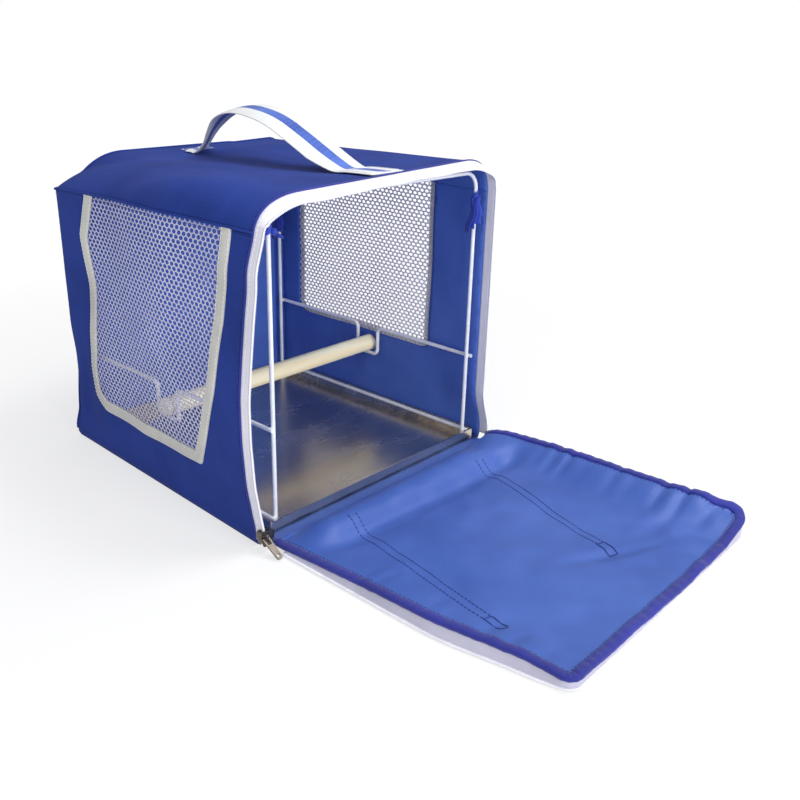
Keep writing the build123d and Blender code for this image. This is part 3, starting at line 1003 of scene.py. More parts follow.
@dataclass
class CoverForm:
    """The outside of the soft cover: where its walls and roof hang, in millimetres."""

    front_y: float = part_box("top_panel")[0].y / MM
    back_y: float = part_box("back_panel")[1].y / MM
    left_front: float = -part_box("opening_zip_tape")[0].x / MM
    back_half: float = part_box("back_panel")[1].x / MM
    seam_z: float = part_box("top_panel")[0].z / MM
    front_top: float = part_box("opening_zip_tape")[1].z / MM
    back_top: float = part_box("back_panel")[1].z / MM
    left_bulge: tuple = ((0.0, 0.0), (14.0, 0.0), (24.0, 2.0), (55.0, 7.5), (92.0, 10.0), (124.0, 10.0),
                         (153.0, 7.0), (181.0, 3.6), (203.0, 0.4), (216.0, 0.0), (241.0, -8.0))
    right_reach: tuple = ((0.0, 138.4), (11.0, 138.4), (55.0, 128.0), (241.0, 127.5))
    right_rear: float = 131.2
    front_top_left: float = 264.5
    front_top_right: float = 270.5
    back_lean: float = 7.0
    roof_sag: float = 5.0
    arch_y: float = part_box("rear_arch_wire")[1].y / MM - WIRE_RADIUS
    arch_half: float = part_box("rear_arch_wire")[1].x / MM
    arch_top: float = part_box("rear_arch_wire")[1].z / MM
    arch_bend: float = 61.75
    arch_room: float = 1.6
    samples: int = 96

    def depth(self, y: float) -> float:
        """0 at the door, 1 at the back wall."""
        return clamp((y - self.front_y) / (self.back_y - self.front_y))

    def seam(self, side: Side, y: float) -> float:
        """Height of the seam between roof and wall.

        Args:
            side: which wall.
            y: depth.

        Returns:
            The height.
        """
        v = self.depth(y)
        if side is Side.LEFT:
            return self.seam_z - 4.0 * v * v - 3.0 * smooth(y, 125, self.back_y)
        return self.seam_z + 1.5 * math.sin(math.pi * v)

    def wall_x(self, side: Side, y: float, z: float) -> float:
        """How far out a side wall's outside stands, with its bulge, lean and creases.

        Args:
            side: which wall.
            y: depth.
            z: height, from 0 at the base to the seam's nominal height.

        Returns:
            The place in X.
        """
        v = self.depth(y)
        calm = smooth(y, self.front_y, self.front_y + 50) * (1 - smooth(y, self.back_y - 30, self.back_y))
        crease = wave((y, z * 0.7, 40.0 * side.value), 62, 2.0) * 2.2 + wave((y * 0.6, z, 9.0), 24, 5.0) * 0.5
        crease *= calm * smooth(z, 0, 40)
        if side is Side.LEFT:
            bulge = eased(self.left_bulge, z, 5.0) * (1 - v) ** 1.5
            low = smooth(z, 10, 30) * (1 - smooth(z, 82, 122))
            lean = (self.back_lean * smooth(z, 16, 110) + 2.5 * low) * smooth(y, 131, self.back_y)
            lean += 2.5 * low * bump(y, 122, 40)
            return -(lerp(self.left_front, self.back_half, v) + bulge - lean) + crease
        front = table(self.right_reach, z)
        x = lerp(front, lerp(132.0, self.right_rear, smooth(z, 0, 60)), smooth(v, 0.0, 0.25))
        return lerp(x, self.back_half, smooth(v, 0.8, 1.0)) + max(crease, -0.2)

    def wall(self, side: Side, y: float, z: float, out: float = 0.0) -> Point:
        """A point of a side wall.

        Args:
            side: which wall.
            y: depth.
            z: height, from 0 at the base to the seam's nominal height.
            out: how far it stands off the cloth's outside.

        Returns:
            The point.
        """
        x = self.wall_x(side, y, z)
        slope_y = (self.wall_x(side, y + 1, z) - self.wall_x(side, y - 1, z)) / 2
        slope_z = (self.wall_x(side, y, z + 1) - self.wall_x(side, y, z - 1)) / 2
        normal = Vector((1.0, -slope_y, -slope_z)).normalized() * side.value * out
        tuck = 2.2 * (1 - smooth(z, 0, 5)) * side.value
        return (x - tuck + normal.x, y + normal.y, z * self.seam(side, y) / self.seam_z + normal.z)

    def over_arch(self, x: float, y: float, z: float) -> float:
        """Lifts a place of the roof that would lie below the rear arch wire.

        Args:
            x: place across.
            y: depth.
            z: the roof's own height there.

        Returns:
            The height that clears the wire.
        """
        past = abs(x) - (self.arch_half - self.arch_bend)
        if past >= self.arch_bend:
            return z
        wire = self.arch_top - self.arch_bend + math.sqrt(self.arch_bend ** 2 - max(0.0, past) ** 2)
        return z + max(0.0, wire + self.arch_room - z) * (1 - smooth(abs(y - self.arch_y), 4.0, 55.0))

    def roof_line(self, y: float, count: int = 64) -> list[Point]:
        """The roof's cross-section at one depth, from the left seam to the right one.

        Args:
            y: depth.
            count: how many steps it has.

        Returns:
            The points.
        """
        v = self.depth(y)
        left, right = self.wall(Side.LEFT, y, self.seam_z), self.wall(Side.RIGHT, y, self.seam_z)
        top = lerp(self.front_top, self.back_top, v)
        lower = 1 - smooth(v, 0, 0.3)
        top_left = top - (self.front_top - self.front_top_left) * lower
        top_right = top - (self.front_top - self.front_top_right) * lower
        rear = smooth(v, 0.35, 1.0)
        left_start = Vector((left[0], left[2]))
        fall = 4.5 * smooth(y, 96, 128)
        left_end = Vector((left[0] + lerp(42.0, 88.0, rear), top_left - fall))
        left_turn = Vector((left[0] + lerp(5.0, 30.0, rear), lerp(top_left - 1.5 * lower, left[2] + 19.0, rear)))
        reach_right = lerp(33.0, 16.0, v)
        corners = (
            (left_start, left_turn, left_end),
            (Vector((right[0] - reach_right, top_right)), Vector((right[0] - 1.0, top_right - 1.0)),
             Vector((right[0], right[2]))),
        )
        path: list[Vector] = []
        bend = count // 4
        for start, corner, end in corners:
            path += [start.lerp(corner, t).lerp(corner.lerp(end, t), t) for t in shares(bend)]
        flat = count - 2 * bend
        a, b = path[bend], path[bend + 1]
        middle = [a.lerp(b, k / flat) for k in range(1, flat)]
        line = []
        for k, p in enumerate(path[:bend + 1] + middle + path[bend + 1:]):
            share = clamp((p.x - left[0]) / (right[0] - left[0]))
            hang = math.sin(math.pi * v) * math.sin(math.pi * share)
            crease = wave((p.x, y, 100.0), 70, 7.0) * 1.6 + wave((p.x, y * 0.5, 30.0), 22, 3.0) * 0.35
            z = p.y - self.roof_sag * hang + crease * min(1.0, 3 * hang)
            line.append((p.x, y, self.over_arch(p.x, y, z)))
        return line

    def roof(self, x: float, y: float) -> float:
        """Height of the roof's outside over a place.

        Args:
            x: place across.
            y: depth.

        Returns:
            The height.
        """
        line = self.roof_line(y, 48)
        for a, b in zip(line, line[1:]):
            if a[0] <= x <= b[0]:
                return lerp(a[2], b[2], (x - a[0]) / max(1e-6, b[0] - a[0]))
        return line[len(line) // 2][2]

    def hoop(self, y: float, rows: int) -> list[Point]:
        """The cover's cross-section at one depth, up the left, over the top and down the right.

        Args:
            y: depth.
            rows: how many steps each wall has.

        Returns:
            The points.
        """
        left, right = ([self.wall(side, y, self.seam_z * k / rows) for k in range(rows)] for side in Side)
        return left + self.roof_line(y, self.samples) + right[::-1]

    def rim(self, step: float = 3.0) -> list[Flat]:
        """The door opening's outline in X and Z."""
        return [(p[0], p[2]) for p in self.hoop(self.front_y, int(self.seam_z / step))]


@dataclass
class Cover:
    """The sewn cover: roof, walls, back, base, their seams and their windows."""

    form: CoverForm
    looks: Finishes
    cloth: float = 1.2
    grid: float = 4.0
    binding: float = 11.0
    overlap: float = 5.0
    window_top: float = 20.0
    apron: Flat = (140.0, 128.0)
    left_window: tuple = ((-114.0, 0.0), (-118.0, 219.0), (-116.0, 176.0), (-106.0, 120.0), (-88.0, 71.0),
                          (-79.0, 49.0), (14.0, 44.0), (78.0, 45.0), (96.0, 56.0), (101.0, 83.0), (97.0, 115.0),
                          (89.0, 159.0), (93.0, 181.0), (97.0, 204.0), (72.0, 0.0))
    left_radii: tuple = (0, 20.0, 60.0, 60.0, 40.0, 3.0, 60.0, 10.0, 14.0, 20.0, 25.0, 25.0, 15.0, 12.0, 0)
    right_window: tuple = ((-82.0, 0.0), (-80.0, 74.0), (115.0, 74.0), (115.0, 0.0))
    right_radii: tuple = (0, 12.0, 16.0, 0)
    edging: tuple = ((0.0, 0.0), (0.03, 0.8), (0.25, 1.25), (0.75, 1.25), (0.97, 0.8), (1.0, 0.0), (0.75, -0.1),
                     (0.25, -0.1))
    net_depth: float = 0.6
    back_dome: float = 3.5
    roof_rows: int = 72
    under_tuck: float = 2.2

    def outline(self, side: Side) -> list[Flat]:
        """A window's outer outline in depth and height, running on past the roof seam.

        Args:
            side: which wall.

        Returns:
            The outline.
        """
        corners, radii = ((self.left_window, self.left_radii) if side is Side.LEFT
                          else (self.right_window, self.right_radii))
        top = self.form.seam_z + self.window_top
        return rounded([(y, z or top) for y, z in corners], radii, 3.0)

    def below_seam(self, path: Sequence[Flat]) -> list[Flat]:
        """The part of a window's outline that lies below the roof seam.

        Args:
            path: the closed outline.

        Returns:
            One open path that starts and ends at the seam.
        """
        limit = self.form.seam_z
        n = len(path)
        starts = [k for k in range(n) if path[k][1] <= limit < path[k - 1][1]]
        first = starts[0]
        out = []
        for k in range(n):
            y, z = path[(first + k) % n]
            if z > limit:
                break
            out.append((y, z))
        return [(out[0][0], limit)] + out + [(out[-1][0], limit)]

    def walls(self) -> None:
        """Makes both side walls with their window holes, bindings, nets and stitches."""
        for side in Side:
            name = side.name.lower()
            outer = self.outline(side)
            hole = self.below_seam(inset(outer, self.overlap))
            edge_y, back_y, top = self.form.front_y, self.form.back_y, self.form.seam_z
            forward = hole[::-1] if hole[0][0] < hole[-1][0] else hole
            sheet_edge = [(edge_y, 0.0), (back_y, 0.0), (back_y, top)] + forward + [(edge_y, top)]
            points, faces = fill(spaced(sheet_edge, self.grid, True), self.grid)
            verts = [self.form.wall(side, y, z) for y, z in points]
            faces = [f if side is Side.RIGHT else f[::-1] for f in faces]
            wall = make(f"{name}_wall_cloth", verts, faces, self.looks.cover)
            self.line(wall, f"{name}_side_panel", self.looks.inner)
            self.window(side, name, outer)

    def line(self, panel: bpy.types.Object, node: str, lining: bpy.types.Material) -> None:
        """Gives a panel of the cover its thickness and lining, in place of its CAD node."""
        thicken(panel, self.cloth, lining)
        piece(panel, Body.COVER, [node])

    def window(self, side: Side, name: str, outer: Sequence[Flat]) -> None:
        """Makes one window's net, its binding and the stitches that hold it.

        Args:
            side: which wall.
            name: the side's name.
            outer: the binding's outer outline.
        """
        form = self.form
        net_edge = self.below_seam(inset(outer, self.overlap + 1.5))
        # the far window's net is the lighter copy, with painted light
        weave, finish = (Net(), self.looks.net) if side is Side.LEFT else (FAR_NET, self.looks.lit_far_net)
        net = weave.panel(f"{name}_window_net", net_edge,
                          lambda y, z, h: form.wall(side, y, z, -self.net_depth + h), finish)
        piece(net, Body.COVER, [f"{name}_window_mesh"])
        edge, inner = (self.matched(self.below_seam(path), 160) for path in (outer, inset(outer, self.binding)))
        rows = [[form.wall(side, *lerp_flat(a, b, across), height) for across, height in self.edging]
                for a, b in zip(edge, inner)]
        band = strip(f"{name}_window_edging", rows, self.looks.window_tape)
        piece(band, Body.COVER, [f"{name}_window_binding"])
        seams = [[form.wall(side, *lerp_flat(a, b, t), 1.15) for a, b in zip(edge, inner)] for t in (0.13, 0.87)]
        facing = Vector((side.value, 0.0, 0.0))
        stitches = place_along(f"{name}_window_stitches", seams, lambda p: facing, WINDOW_ROW, STITCH,
                               self.looks.white_thread)
        piece(stitches, Body.COVER)

    @staticmethod
    def matched(path: Sequence[Flat], count: int) -> list[Flat]:
        """A path re-read at a number of evenly shared points.

        Args:
            path: the open path.
            count: how many points to give.

        Returns:
            The points, with both ends kept.
        """
        runs = [0.0]
        for a, b in zip(path, path[1:]):
            runs.append(runs[-1] + (Vector(b) - Vector(a)).length)
        out, k = [], 0
        for i in range(count):
            goal = runs[-1] * i / (count - 1)
            while k < len(runs) - 2 and runs[k + 1] < goal:
                k += 1
            t = (goal - runs[k]) / max(1e-6, runs[k + 1] - runs[k])
            out.append(lerp_flat(path[k], path[k + 1], t))
        return out

    def roof(self) -> None:
        """Makes the roof and the seams along its edges."""
        form = self.form
        depths = [lerp(form.front_y, form.back_y, t) for t in shares(self.roof_rows)]
        rows = [form.roof_line(y, form.samples) for y in depths]
        roof = strip("roof_cloth", rows, self.looks.cover, closed_section=False)
        face_up(roof)
        self.line(roof, "top_panel", self.looks.inner)
        for side in Side:
            name, facing = side.name.lower(), Vector((side.value, 0.0, 0.0))
            edge = [Vector(row[0 if side is Side.LEFT else -1]) + facing * 0.5 for row in rows]
            self.seam(f"{name}_roof_seam", edge, 1.0)
            sewn = [form.wall(side, y, form.seam_z - 4.0, 0.1) for y in depths]
            stitches = place_along(f"{name}_roof_stitches", [sewn], lambda p, f=facing: f, ROOF_ROW, STITCH,
                                   self.looks.thread)
            piece(stitches, Body.COVER)

    def seam(self, name: str, path: Sequence[Vector], radius: float) -> None:
        """Makes a thin round seam along a path.

        Args:
            name: the seam's name.
            path: its middle line.
            radius: its radius.
        """
        rows = []
        for k, p in enumerate(path):
            run = heading(path, k)
            steep = abs(run.z) >= 0.9
            side = run.cross(Vector((0, 1, 0)) if steep else Vector((0.3, 0.2, 1.0))).normalized()
            up = run.cross(side)
            rows.append([tuple(p + (side * math.cos(a) + up * math.sin(a)) * radius) for a in turns(8)])
        piece(strip(name, rows, self.looks.cover), Body.COVER)

    def back(self) -> None:
        """Makes the back wall, slightly domed, with a seam round it."""
        form = self.form
        y = form.back_y
        hoop = form.hoop(y, 60)
        loop = [(p[0], p[2]) for p in hoop]
        outline = self.matched(loop + [loop[0]], 240)[:-1]
        points, faces = fill(outline[::-1], 5.0)
        verts = []
        for x, z in points:
            rest = smooth(gap_to((x, z), outline), 0, 60)
            bulge = self.back_dome * rest + wave((x, 0.0, z), 60, 11.0) * 2.0 * rest
            verts.append((x, y + bulge, z))
        back = make("back_wall_cloth", verts, faces, self.looks.cover)
        if sum(f.normal.y for f in back.data.polygons) < 0:
            back.data.flip_normals()
        self.line(back, "back_panel", self.looks.inner)
        path = [Vector((p[0], y + 0.2, p[2])) for p in hoop]
        self.seam("back_wall_seam", path[2:-2], 1.2)

    def base(self) -> None:
        """Makes the base cloth that the tray stands on."""
        form, low = self.form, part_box("bottom_panel")[0] / MM
        left, right, back = (half - self.under_tuck
                             for half in (form.left_front, form.right_reach[0][1], form.back_half))
        outline = [(-left, form.front_y), (-self.apron[0], form.front_y), (-self.apron[0], low.y),
                   (self.apron[1], low.y), (self.apron[1], form.front_y), (right, form.front_y),
                   (back, form.back_y), (-back, form.back_y)]
        points, faces = fill(spaced(outline, 6.0, True), 8.0)
        base = make("base_cloth", [(x, y, self.cloth) for x, y in points], faces, self.looks.lining)
        face_up(base)
        self.line(base, "bottom_panel", self.looks.cover)


# ---------------------------------------------------------------------------------------------
# the door opening's zip
# ---------------------------------------------------------------------------------------------


@dataclass
class Opening:
    """The edge of the door opening: piping, standing zip tape, coil and stitches."""

    form: CoverForm
    looks: Finishes
    tape_front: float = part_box("opening_zip_tape")[0].y / MM
    coil_front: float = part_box("opening_zip_coil")[0].y / MM
    foot: float = 6.0
    droop: float = 5.5
    thickness: float = 1.0
    piping: float = 0.7
    coil: Flat = (0.8, 0.7)
    coil_in: float = 0.5
    side_share: float = 0.12
    tape_seam: float = 3.0
    edge_seam: float = 3.4
    rows: int = 6

    def line(self) -> list[tuple[Flat, Flat, float]]:
        """The opening's outline with its inward direction and its share of droop.

        Returns:
            For each place, X and Z, the inward direction, and the droop's share.
        """
        path = [p for p in spaced(self.form.rim(), 3.0, False) if p[1] >= self.foot]
        out = []
        for k, p in enumerate(path):
            run = heading(path, k)
            inward = (run.y, -run.x)
            share = self.side_share + (1 - self.side_share) * smooth(-inward[1], 0.3, 1.0)
            out.append((p, inward, share))
        return out

    def at(self, spot: tuple[Flat, Flat, float], y: float, inwards: float) -> Point:
        """A point of the tape or what is on it.

        Args:
            spot: one entry of the outline.
            y: depth.
            inwards: distance inside the tape's outer face.

        Returns:
            The point.
        """
        (x, z), (nx, nz), share = spot
        forward = clamp((self.form.front_y - y) / (self.form.front_y - self.tape_front))
        lean = self.droop * share * forward ** 2 * (0.35 if share < 0.2 else 1.0)
        ruffle = wave((x, z, 5.0), 34, 4.0) * 0.9 * forward * smooth(share, 0.12, 0.5)
        return (x + nx * (inwards + lean), y, z + nz * (inwards + lean + ruffle))

    def build(self) -> None:
        """Makes the piping, the tape, its stitches and the coil."""
        line = self.line()
        front, tape = self.form.front_y, self.tape_front
        across = shares(self.rows)
        rows = [[self.at(s, lerp(front, tape, t), 0.0) for t in across]
                + [self.at(s, lerp(front, tape, t), self.thickness) for t in across[::-1]] for s in line]
        piece(strip("opening_tape", rows, self.looks.tape), Body.COVER, ["opening_zip_tape"])
        piping = [[self.at(s, front + self.piping * math.cos(a), -0.3 - self.piping * math.sin(a)) for a in turns(8)]
                  for s in line]
        piece(strip("opening_edge_piping", piping, self.looks.piping), Body.COVER, ["opening_piping"])
        centre = (tape + self.coil_front) / 2
        path = [self.at(s, centre, self.coil_in) for s in line]
        deep, thick = self.coil
        core = [[self.at(s, centre + deep * math.cos(a), self.coil_in + thick * math.sin(a)) for a in turns(6)]
                for s in line]
        piece(strip("opening_coil_cord", core, self.looks.coil), Body.COVER, ["opening_zip_coil"])
        middle = Vector((0.0, centre, 140.0))
        teeth = place_along("opening_coil_turns", [path], lambda p: (middle - p).normalized(), RIM_COIL, TOOTH,
                            self.looks.coil)
        piece(teeth, Body.COVER)
        tape_row = [self.at(s, front - self.tape_seam, -0.1) for s in line]
        edge_row = [(x, front + self.edge_seam, z) for x, _, z in (self.at(s, front, -0.15) for s in line)]
        for name, sewn, finish in (("opening_tape_stitches", tape_row, self.looks.white_thread),
                                   ("opening_edge_stitches", edge_row, self.looks.thread)):
            row = place_along(name, [sewn], lambda p: (p - middle).normalized(), RIM_ROW, STITCH, finish)
            piece(row, Body.COVER)


# ---------------------------------------------------------------------------------------------
# the door flap
# ---------------------------------------------------------------------------------------------


def fuller(t: float) -> float:
    """A sine or cosine made fuller, for a section between an oval and a box."""
    return math.copysign(abs(t) ** 0.7, t)


@dataclass
class Door:
    """The door flap, lying open on the ground, with its binding, zip and pocket."""

    looks: Finishes
    hinge_y: float = -149.0
    hinge_z: float = 1.2
    left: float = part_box("door_zip_coil")[0].x / MM
    right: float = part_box("door_zip_coil")[1].x / MM
    length: float = 265.0
    corner: float = 22.0
    near_corner: float = 15.0
    binding_in: float = 3.8
    binding_wide: float = 8.0
    binding_thick: float = 2.1
    binding_sink: float = 0.6
    tape_reach: float = 3.2
    tape_start: float = 15.0
    tape_drop: float = 1.6
    tape_low: float = 1.1
    tape_half: float = 0.4
    coil_up: float = 0.3
    coil_radius: float = 0.8
    start: float = 0.4
    spread: float = 6.0
    keep: float = 0.15
    cloth: float = 1.4
    ground: float = 0.25
    pocket_wide: float = 8.0
    pocket_corner: float = 10.0
    sewn_rows: tuple = ((-78.0, 25.0, -110.0, 182.0), (72.0, 36.0, 30.0, 186.0))
    row_gap: float = 3.6
    tack_box: tuple = ((-4, 0), (-4, 15), (4, 15), (4, 0), (-4, 0))
    row_up: float = 0.35
    tack_up: float = 0.4
    pocket_section: tuple = ((0.0, 0.1), (0.06, -1.3), (0.94, -1.3), (1.0, 0.1))
    fold_inset: float = 4.5
    fold_reach: Flat = (9.4, 4.0)
    fold_thick: float = 0.8
    fold_steps: int = 60
    left_rise: tuple = ((0, 3.0), (30, 5.0), (100, 9.0), (180, 11.5), (235, 10.5), (265, 9.0))
    right_rise: tuple = ((0, 13.0), (14, 18.0), (40, 19.0), (110, 21.0), (200, 23.0), (265, 26.0))
    far_rise: tuple = ((-140, 9.0), (-60, 7.5), (30, 5.5), (85, 7.0), (115, 14.0), (140, 26.0))
    swell: tuple = ((0, 3.0), (8, 9.5), (19, 15.0), (31, 12.5), (40, 3.6), (46, 1.4), (55, 5.0), (90, 7.0),
                    (150, 7.4), (215, 6.4), (262, 5.0))

    def height(self, x: float, d: float) -> float:
        """Height of the flap's upper face over the ground.

        Args:
            x: place across.
            d: distance from the hinge.

        Returns:
            The height in millimetres.
        """
        from_left = x - self.left - self.binding_in
        from_right = self.right - self.binding_in - x
        from_far = self.length - self.binding_in - d
        by_left, by_right = 1 - smooth(from_left, 2, 46), 1 - smooth(from_right, 2, 44)
        by_far = 1 - smooth(from_far, 2, 46)
        z = eased(self.swell, max(0.0, d - 0.05 * (x + 60) * smooth(d, 0, 40)), 4.5)
        z += 1.5 * wave((x, d, 0.0), 80, 1.0) + 0.8 * wave((x + d, d - x, 3.0), 32, 6.0)
        z -= 3.0 * bump(x - 52 - 0.25 * (d - 150), 0.0, 34) * bump(d, 165, 80)
        z += 3.6 * wave((x, d, 2.0), 20, 12.0) * bump(x, 92, 62) * bump(d, 226, 60)
        z -= 3.4 * bump(d - 208 - 0.45 * (x - 40), 0.0, 9) * bump(x, 30, 62)
        z = lerp(z, eased(self.left_rise, d, 12.0), by_left)
        z = lerp(z, eased(self.right_rise, d, 12.0) + wave((x, d, 8.0), 40, 2.0), by_right)
        z = lerp(z, eased(self.far_rise, x, 20.0) + wave((x, d, 4.0), 34, 9.0), by_far)
        along = d + 10.0 * wave((0.0, d, 7.0), 46, 3.0)
        fullness = clamp(0.75 + 0.9 * wave((0.0, d, 9.0), 30, 5.0), 0.2, 1.4)
        pucker = (abs(math.sin(math.pi * along / 21.0)) ** 0.5 - 0.72) * fullness
        z += 4.2 * pucker * bump(from_right, 18, 26) * smooth(d, 48, 80) * (1 - smooth(d, 225, 250))
        z += 2.2 * pucker * bump(from_left, 18, 24) * smooth(d, 60, 95) * (1 - smooth(d, 225, 250))
        across = x + 4.0 * wave((x, 0.0, 5.0), 50, 8.0)
        gather = abs(math.sin(math.pi * across / 31.0)) ** 0.6 - 0.7
        z += 3.2 * gather * bump(from_far, 18, 26) * smooth(x, -60, 40)
        return max(3.0, lerp(4.0, z, smooth(d, 0, 10)))

    def at(self, x: float, d: float, up: float = 0.0) -> Point:
        """A point of the flap's upper face, or above it."""
        return (x + self.shift(x, d), self.hinge_y - d, self.height(x, d) + up)

    def shift(self, x: float, d: float) -> float:
        """How far the flap's cloth spreads to the right of its cut, away from the hinge.

        Args:
            x: place across.
            d: distance from the hinge.

        Returns:
            The distance in millimetres.
        """
        share = smooth(d, 0.0, 60.0)
        ear = 7.0 * smooth(x, self.right - 40, self.right) * smooth(d, 225, 258)
        ear += 12.0 * (1 - smooth(x, self.left, self.left + 70)) * smooth(d, 150, 250)
        return self.spread * smooth(x, self.left, self.right) * share + ear

    def edge(self, drawn_in: float, start: float, step: float = 3.0) -> list[Flat]:
        """The flap's free edge, from the hinge round to the hinge.

        Args:
            drawn_in: how far it lies inside the coil's edge.
            start: its ends' distance from the hinge.
            step: the rough distance between points.

        Returns:
            The points.
        """
        left, right, far = self.left + drawn_in, self.right - drawn_in, self.length - drawn_in
        path = [(left, start)]
        for corner, first, side in ((self.near_corner, math.pi, Side.LEFT), (self.corner, math.pi / 2, Side.RIGHT)):
            radius = max(2.0, corner - drawn_in)
            centre = left + radius if side is Side.LEFT else right - radius
            for a in (first - math.pi / 2 * k / 10 for k in range(11)):
                path.append((centre + radius * math.cos(a), far - radius + radius * math.sin(a)))
        path.append((right, start))
        return spaced(path, step, False)

    def soft(self, obj: bpy.types.Object, slot: Slot, replaces: Sequence[str] = ()) -> bpy.types.Object:
        """A piece of the flap, which rides on the door with a mesh of its own.

        Args:
            obj: the piece.
            slot: not used.
            replaces: the CAD nodes that it stands for.

        Returns:
            The same piece.
        """
        piece(obj, Body.DOOR, replaces)
        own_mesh(obj)
        return obj

    def build(self) -> None:
        """Makes the flap and everything on it."""
        self.sheet()
        self.trim()
        self.zip_half()
        self.seams()
        self.pocket()
        self.fold()

    def sheet(self) -> None:
        """Makes the flap's cloth, lined on its inner face."""
        outline = self.edge(self.binding_in + 3, self.start, 4.0)
        points, faces = fill(outline + [(x, self.start) for x in (90.0, 45.0, 0.0, -45.0, -90.0)], 4.2)
        flap = make("door_flap_cloth", [self.at(x, d) for x, d in points], faces, self.looks.lining)
        face_up(flap)
        thicken(flap, self.cloth, self.looks.cover)
        self.soft(flap, Slot.FABRIC, ["door_panel"])

    def trim(self) -> None:
        """Makes the puckered binding round the flap's edge."""
        line = self.edge(self.binding_in + self.binding_wide / 2, self.start)
        rows = []
        for k, (x, d) in enumerate(line):
            out = leftward(heading(line, k))
            pucker = 0.35 * math.sin(k * 1.9) + 0.3 * wave((x, d, 1.0), 9, 3.0)
            section = []
            for turn in turns(12):
                across = self.binding_wide / 2 * fuller(math.cos(turn))
                lift = (self.binding_thick + pucker) * fuller(math.sin(turn))
                half_x, half_d = out.x * across * 0.5, out.y * across * 0.5
                px, _, pz = self.at(x + half_x, d + half_d, lift - self.binding_sink)
                section.append((px + half_x, self.hinge_y - max(d + out.y * across, self.start),
                                max(self.ground, pz)))
            rows.append(section)
        self.soft(strip("door_flap_binding", rows, self.looks.piping), Slot.BINDING, ["door_edge_binding"])

    def zip_half(self) -> None:
        """Makes the zip tape that hangs from the binding, and the coil on its edge."""
        spots = self.edge(self.binding_in, self.tape_start)
        tape_rows, coil_path, coil_rows = [], [], []
        for k, (x, d) in enumerate(spots):
            out = leftward(heading(spots, k))
            top = self.height(x, d) - self.tape_drop
            low = min(top, self.tape_low)
            tucked = lerp(self.tape_reach, -1.0, smooth(d, 232, 262))
            side = []
            for t in (0.0, 0.3, 0.6, 0.85, 1.0):
                reach = lerp(-1.5, tucked, t)
                z = lerp(top, low, smooth(t, 0.05, 0.95))
                side.append((x + self.shift(x, d) + out.x * reach, self.hinge_y - (d + out.y * reach), z))
            tape_rows.append([(px, py, pz + self.tape_half) for px, py, pz in side]
                             + [(px, py, pz - self.tape_half) for px, py, pz in side[::-1]])
            last = Vector(side[-1])
            coil_path.append(last + UP * self.coil_up)
            section = [Vector((out.x * math.cos(q), -out.y * math.cos(q), math.sin(q) + 0.1)) for q in turns(6)]
            coil_rows.append([tuple(last + ray * self.coil_radius) for ray in section])
        # the tape takes the darker copy, with painted shade
        self.soft(strip("door_flap_tape", tape_rows, self.looks.painted_shade_tape), Slot.TAPE, ["door_zip_tape"])
        self.soft(strip("door_flap_coil_cord", coil_rows, self.looks.coil), Slot.COIL, ["door_zip_coil"])
        self.soft(place_along("door_flap_coil_turns", [coil_path], lambda p: UP, FLAP_COIL, TOOTH, self.looks.coil),
                  Slot.COIL)

    def seams(self) -> None:
        """Makes the sewn rows on the lining and the bar tacks that end them."""
        rows, tacks = [], []
        for x0, d0, x1, d1 in self.sewn_rows:
            run = Vector((x1 - x0, d1 - d0)).normalized()
            side = leftward(run)
            for off in (-self.row_gap, self.row_gap):
                rows.append([self.at(lerp(x0, x1, t) + side.x * off, lerp(d0, d1, t) + side.y * off, self.row_up)
                             for t in shares(60)])
            corners = [Vector((x1, d1)) + side * a + run * b for a, b in self.tack_box]
            tacks.append([self.at(*p, self.tack_up) for a, b in zip(corners, corners[1:])
                          for p in (a.lerp(b, k / 8) for k in range(8))])
        inner = self.edge(self.binding_in + self.binding_wide + 0.8, 4.0)
        rows.append([self.at(x, d, 0.1) for x, d in inner])
        for name, paths, row in (("door_flap_stitches", rows, FLAP_ROW), ("door_flap_bar_tacks", tacks, TACK_ROW)):
            self.soft(place_along(name, paths, lambda p: UP, row, STITCH, self.looks.thread), Slot.FABRIC)

    def pocket(self) -> None:
        """Makes the net pocket and its binding on the flap's outer face."""
        low, high = (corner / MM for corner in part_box("door_pocket_binding"))
        near, far = self.hinge_y - high.y, self.hinge_y - low.y
        corners = [(low.x, near), (high.x, near), (high.x, far), (low.x, far)]
        outline = rounded(corners, [self.pocket_corner] * 4, 3.0)
        net_edge = inset(outline, self.pocket_wide - 1)
        net = Net().panel("door_pocket_net", net_edge, lambda x, d, h: self.at(x, d, -self.cloth - 0.15 + h),
                          self.looks.net)
        self.soft(net, Slot.NET, ["door_pocket_mesh"])
        inner = inset(outline, self.pocket_wide)
        rows = [[self.at(*lerp_flat(a, b, t), -self.cloth + z) for t, z in self.pocket_section]
                for a, b in zip(outline, inner)]
        band = strip("door_pocket_edging", rows, self.looks.piping, closed_path=True)
        self.soft(band, Slot.BINDING, ["door_pocket_binding"])

    def fold(self) -> None:
        """Makes the strip of cloth along the sewn hinge."""
        left, right, steps = self.left + self.fold_inset, self.right - self.fold_inset, self.fold_steps
        rows = []
        for t in shares(14):
            y = lerp(self.hinge_y + self.fold_reach[0], self.hinge_y - self.fold_reach[1], t)
            z = lerp(2.6, 4.3, smooth(-y, 139.6, -self.hinge_y))
            ripple = [0.5 * wave((i * 4.5, y, 0.0), 18, 3.0) if 0 < i < steps else -0.6 for i in range(steps + 1)]
            rows.append([(lerp(left, right, i / steps), y, z + ripple[i]) for i in range(steps + 1)])
        fold = strip("door_hinge_fold", rows, self.looks.lining, closed_section=False)
        face_up(fold)
        thicken(fold, self.fold_thick, self.looks.cover)
        log.info("%s: %d faces bending with the door", fold.name, len(fold.data.polygons))
        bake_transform(fold)


# ---------------------------------------------------------------------------------------------
# handle, ties and hard parts
# ---------------------------------------------------------------------------------------------


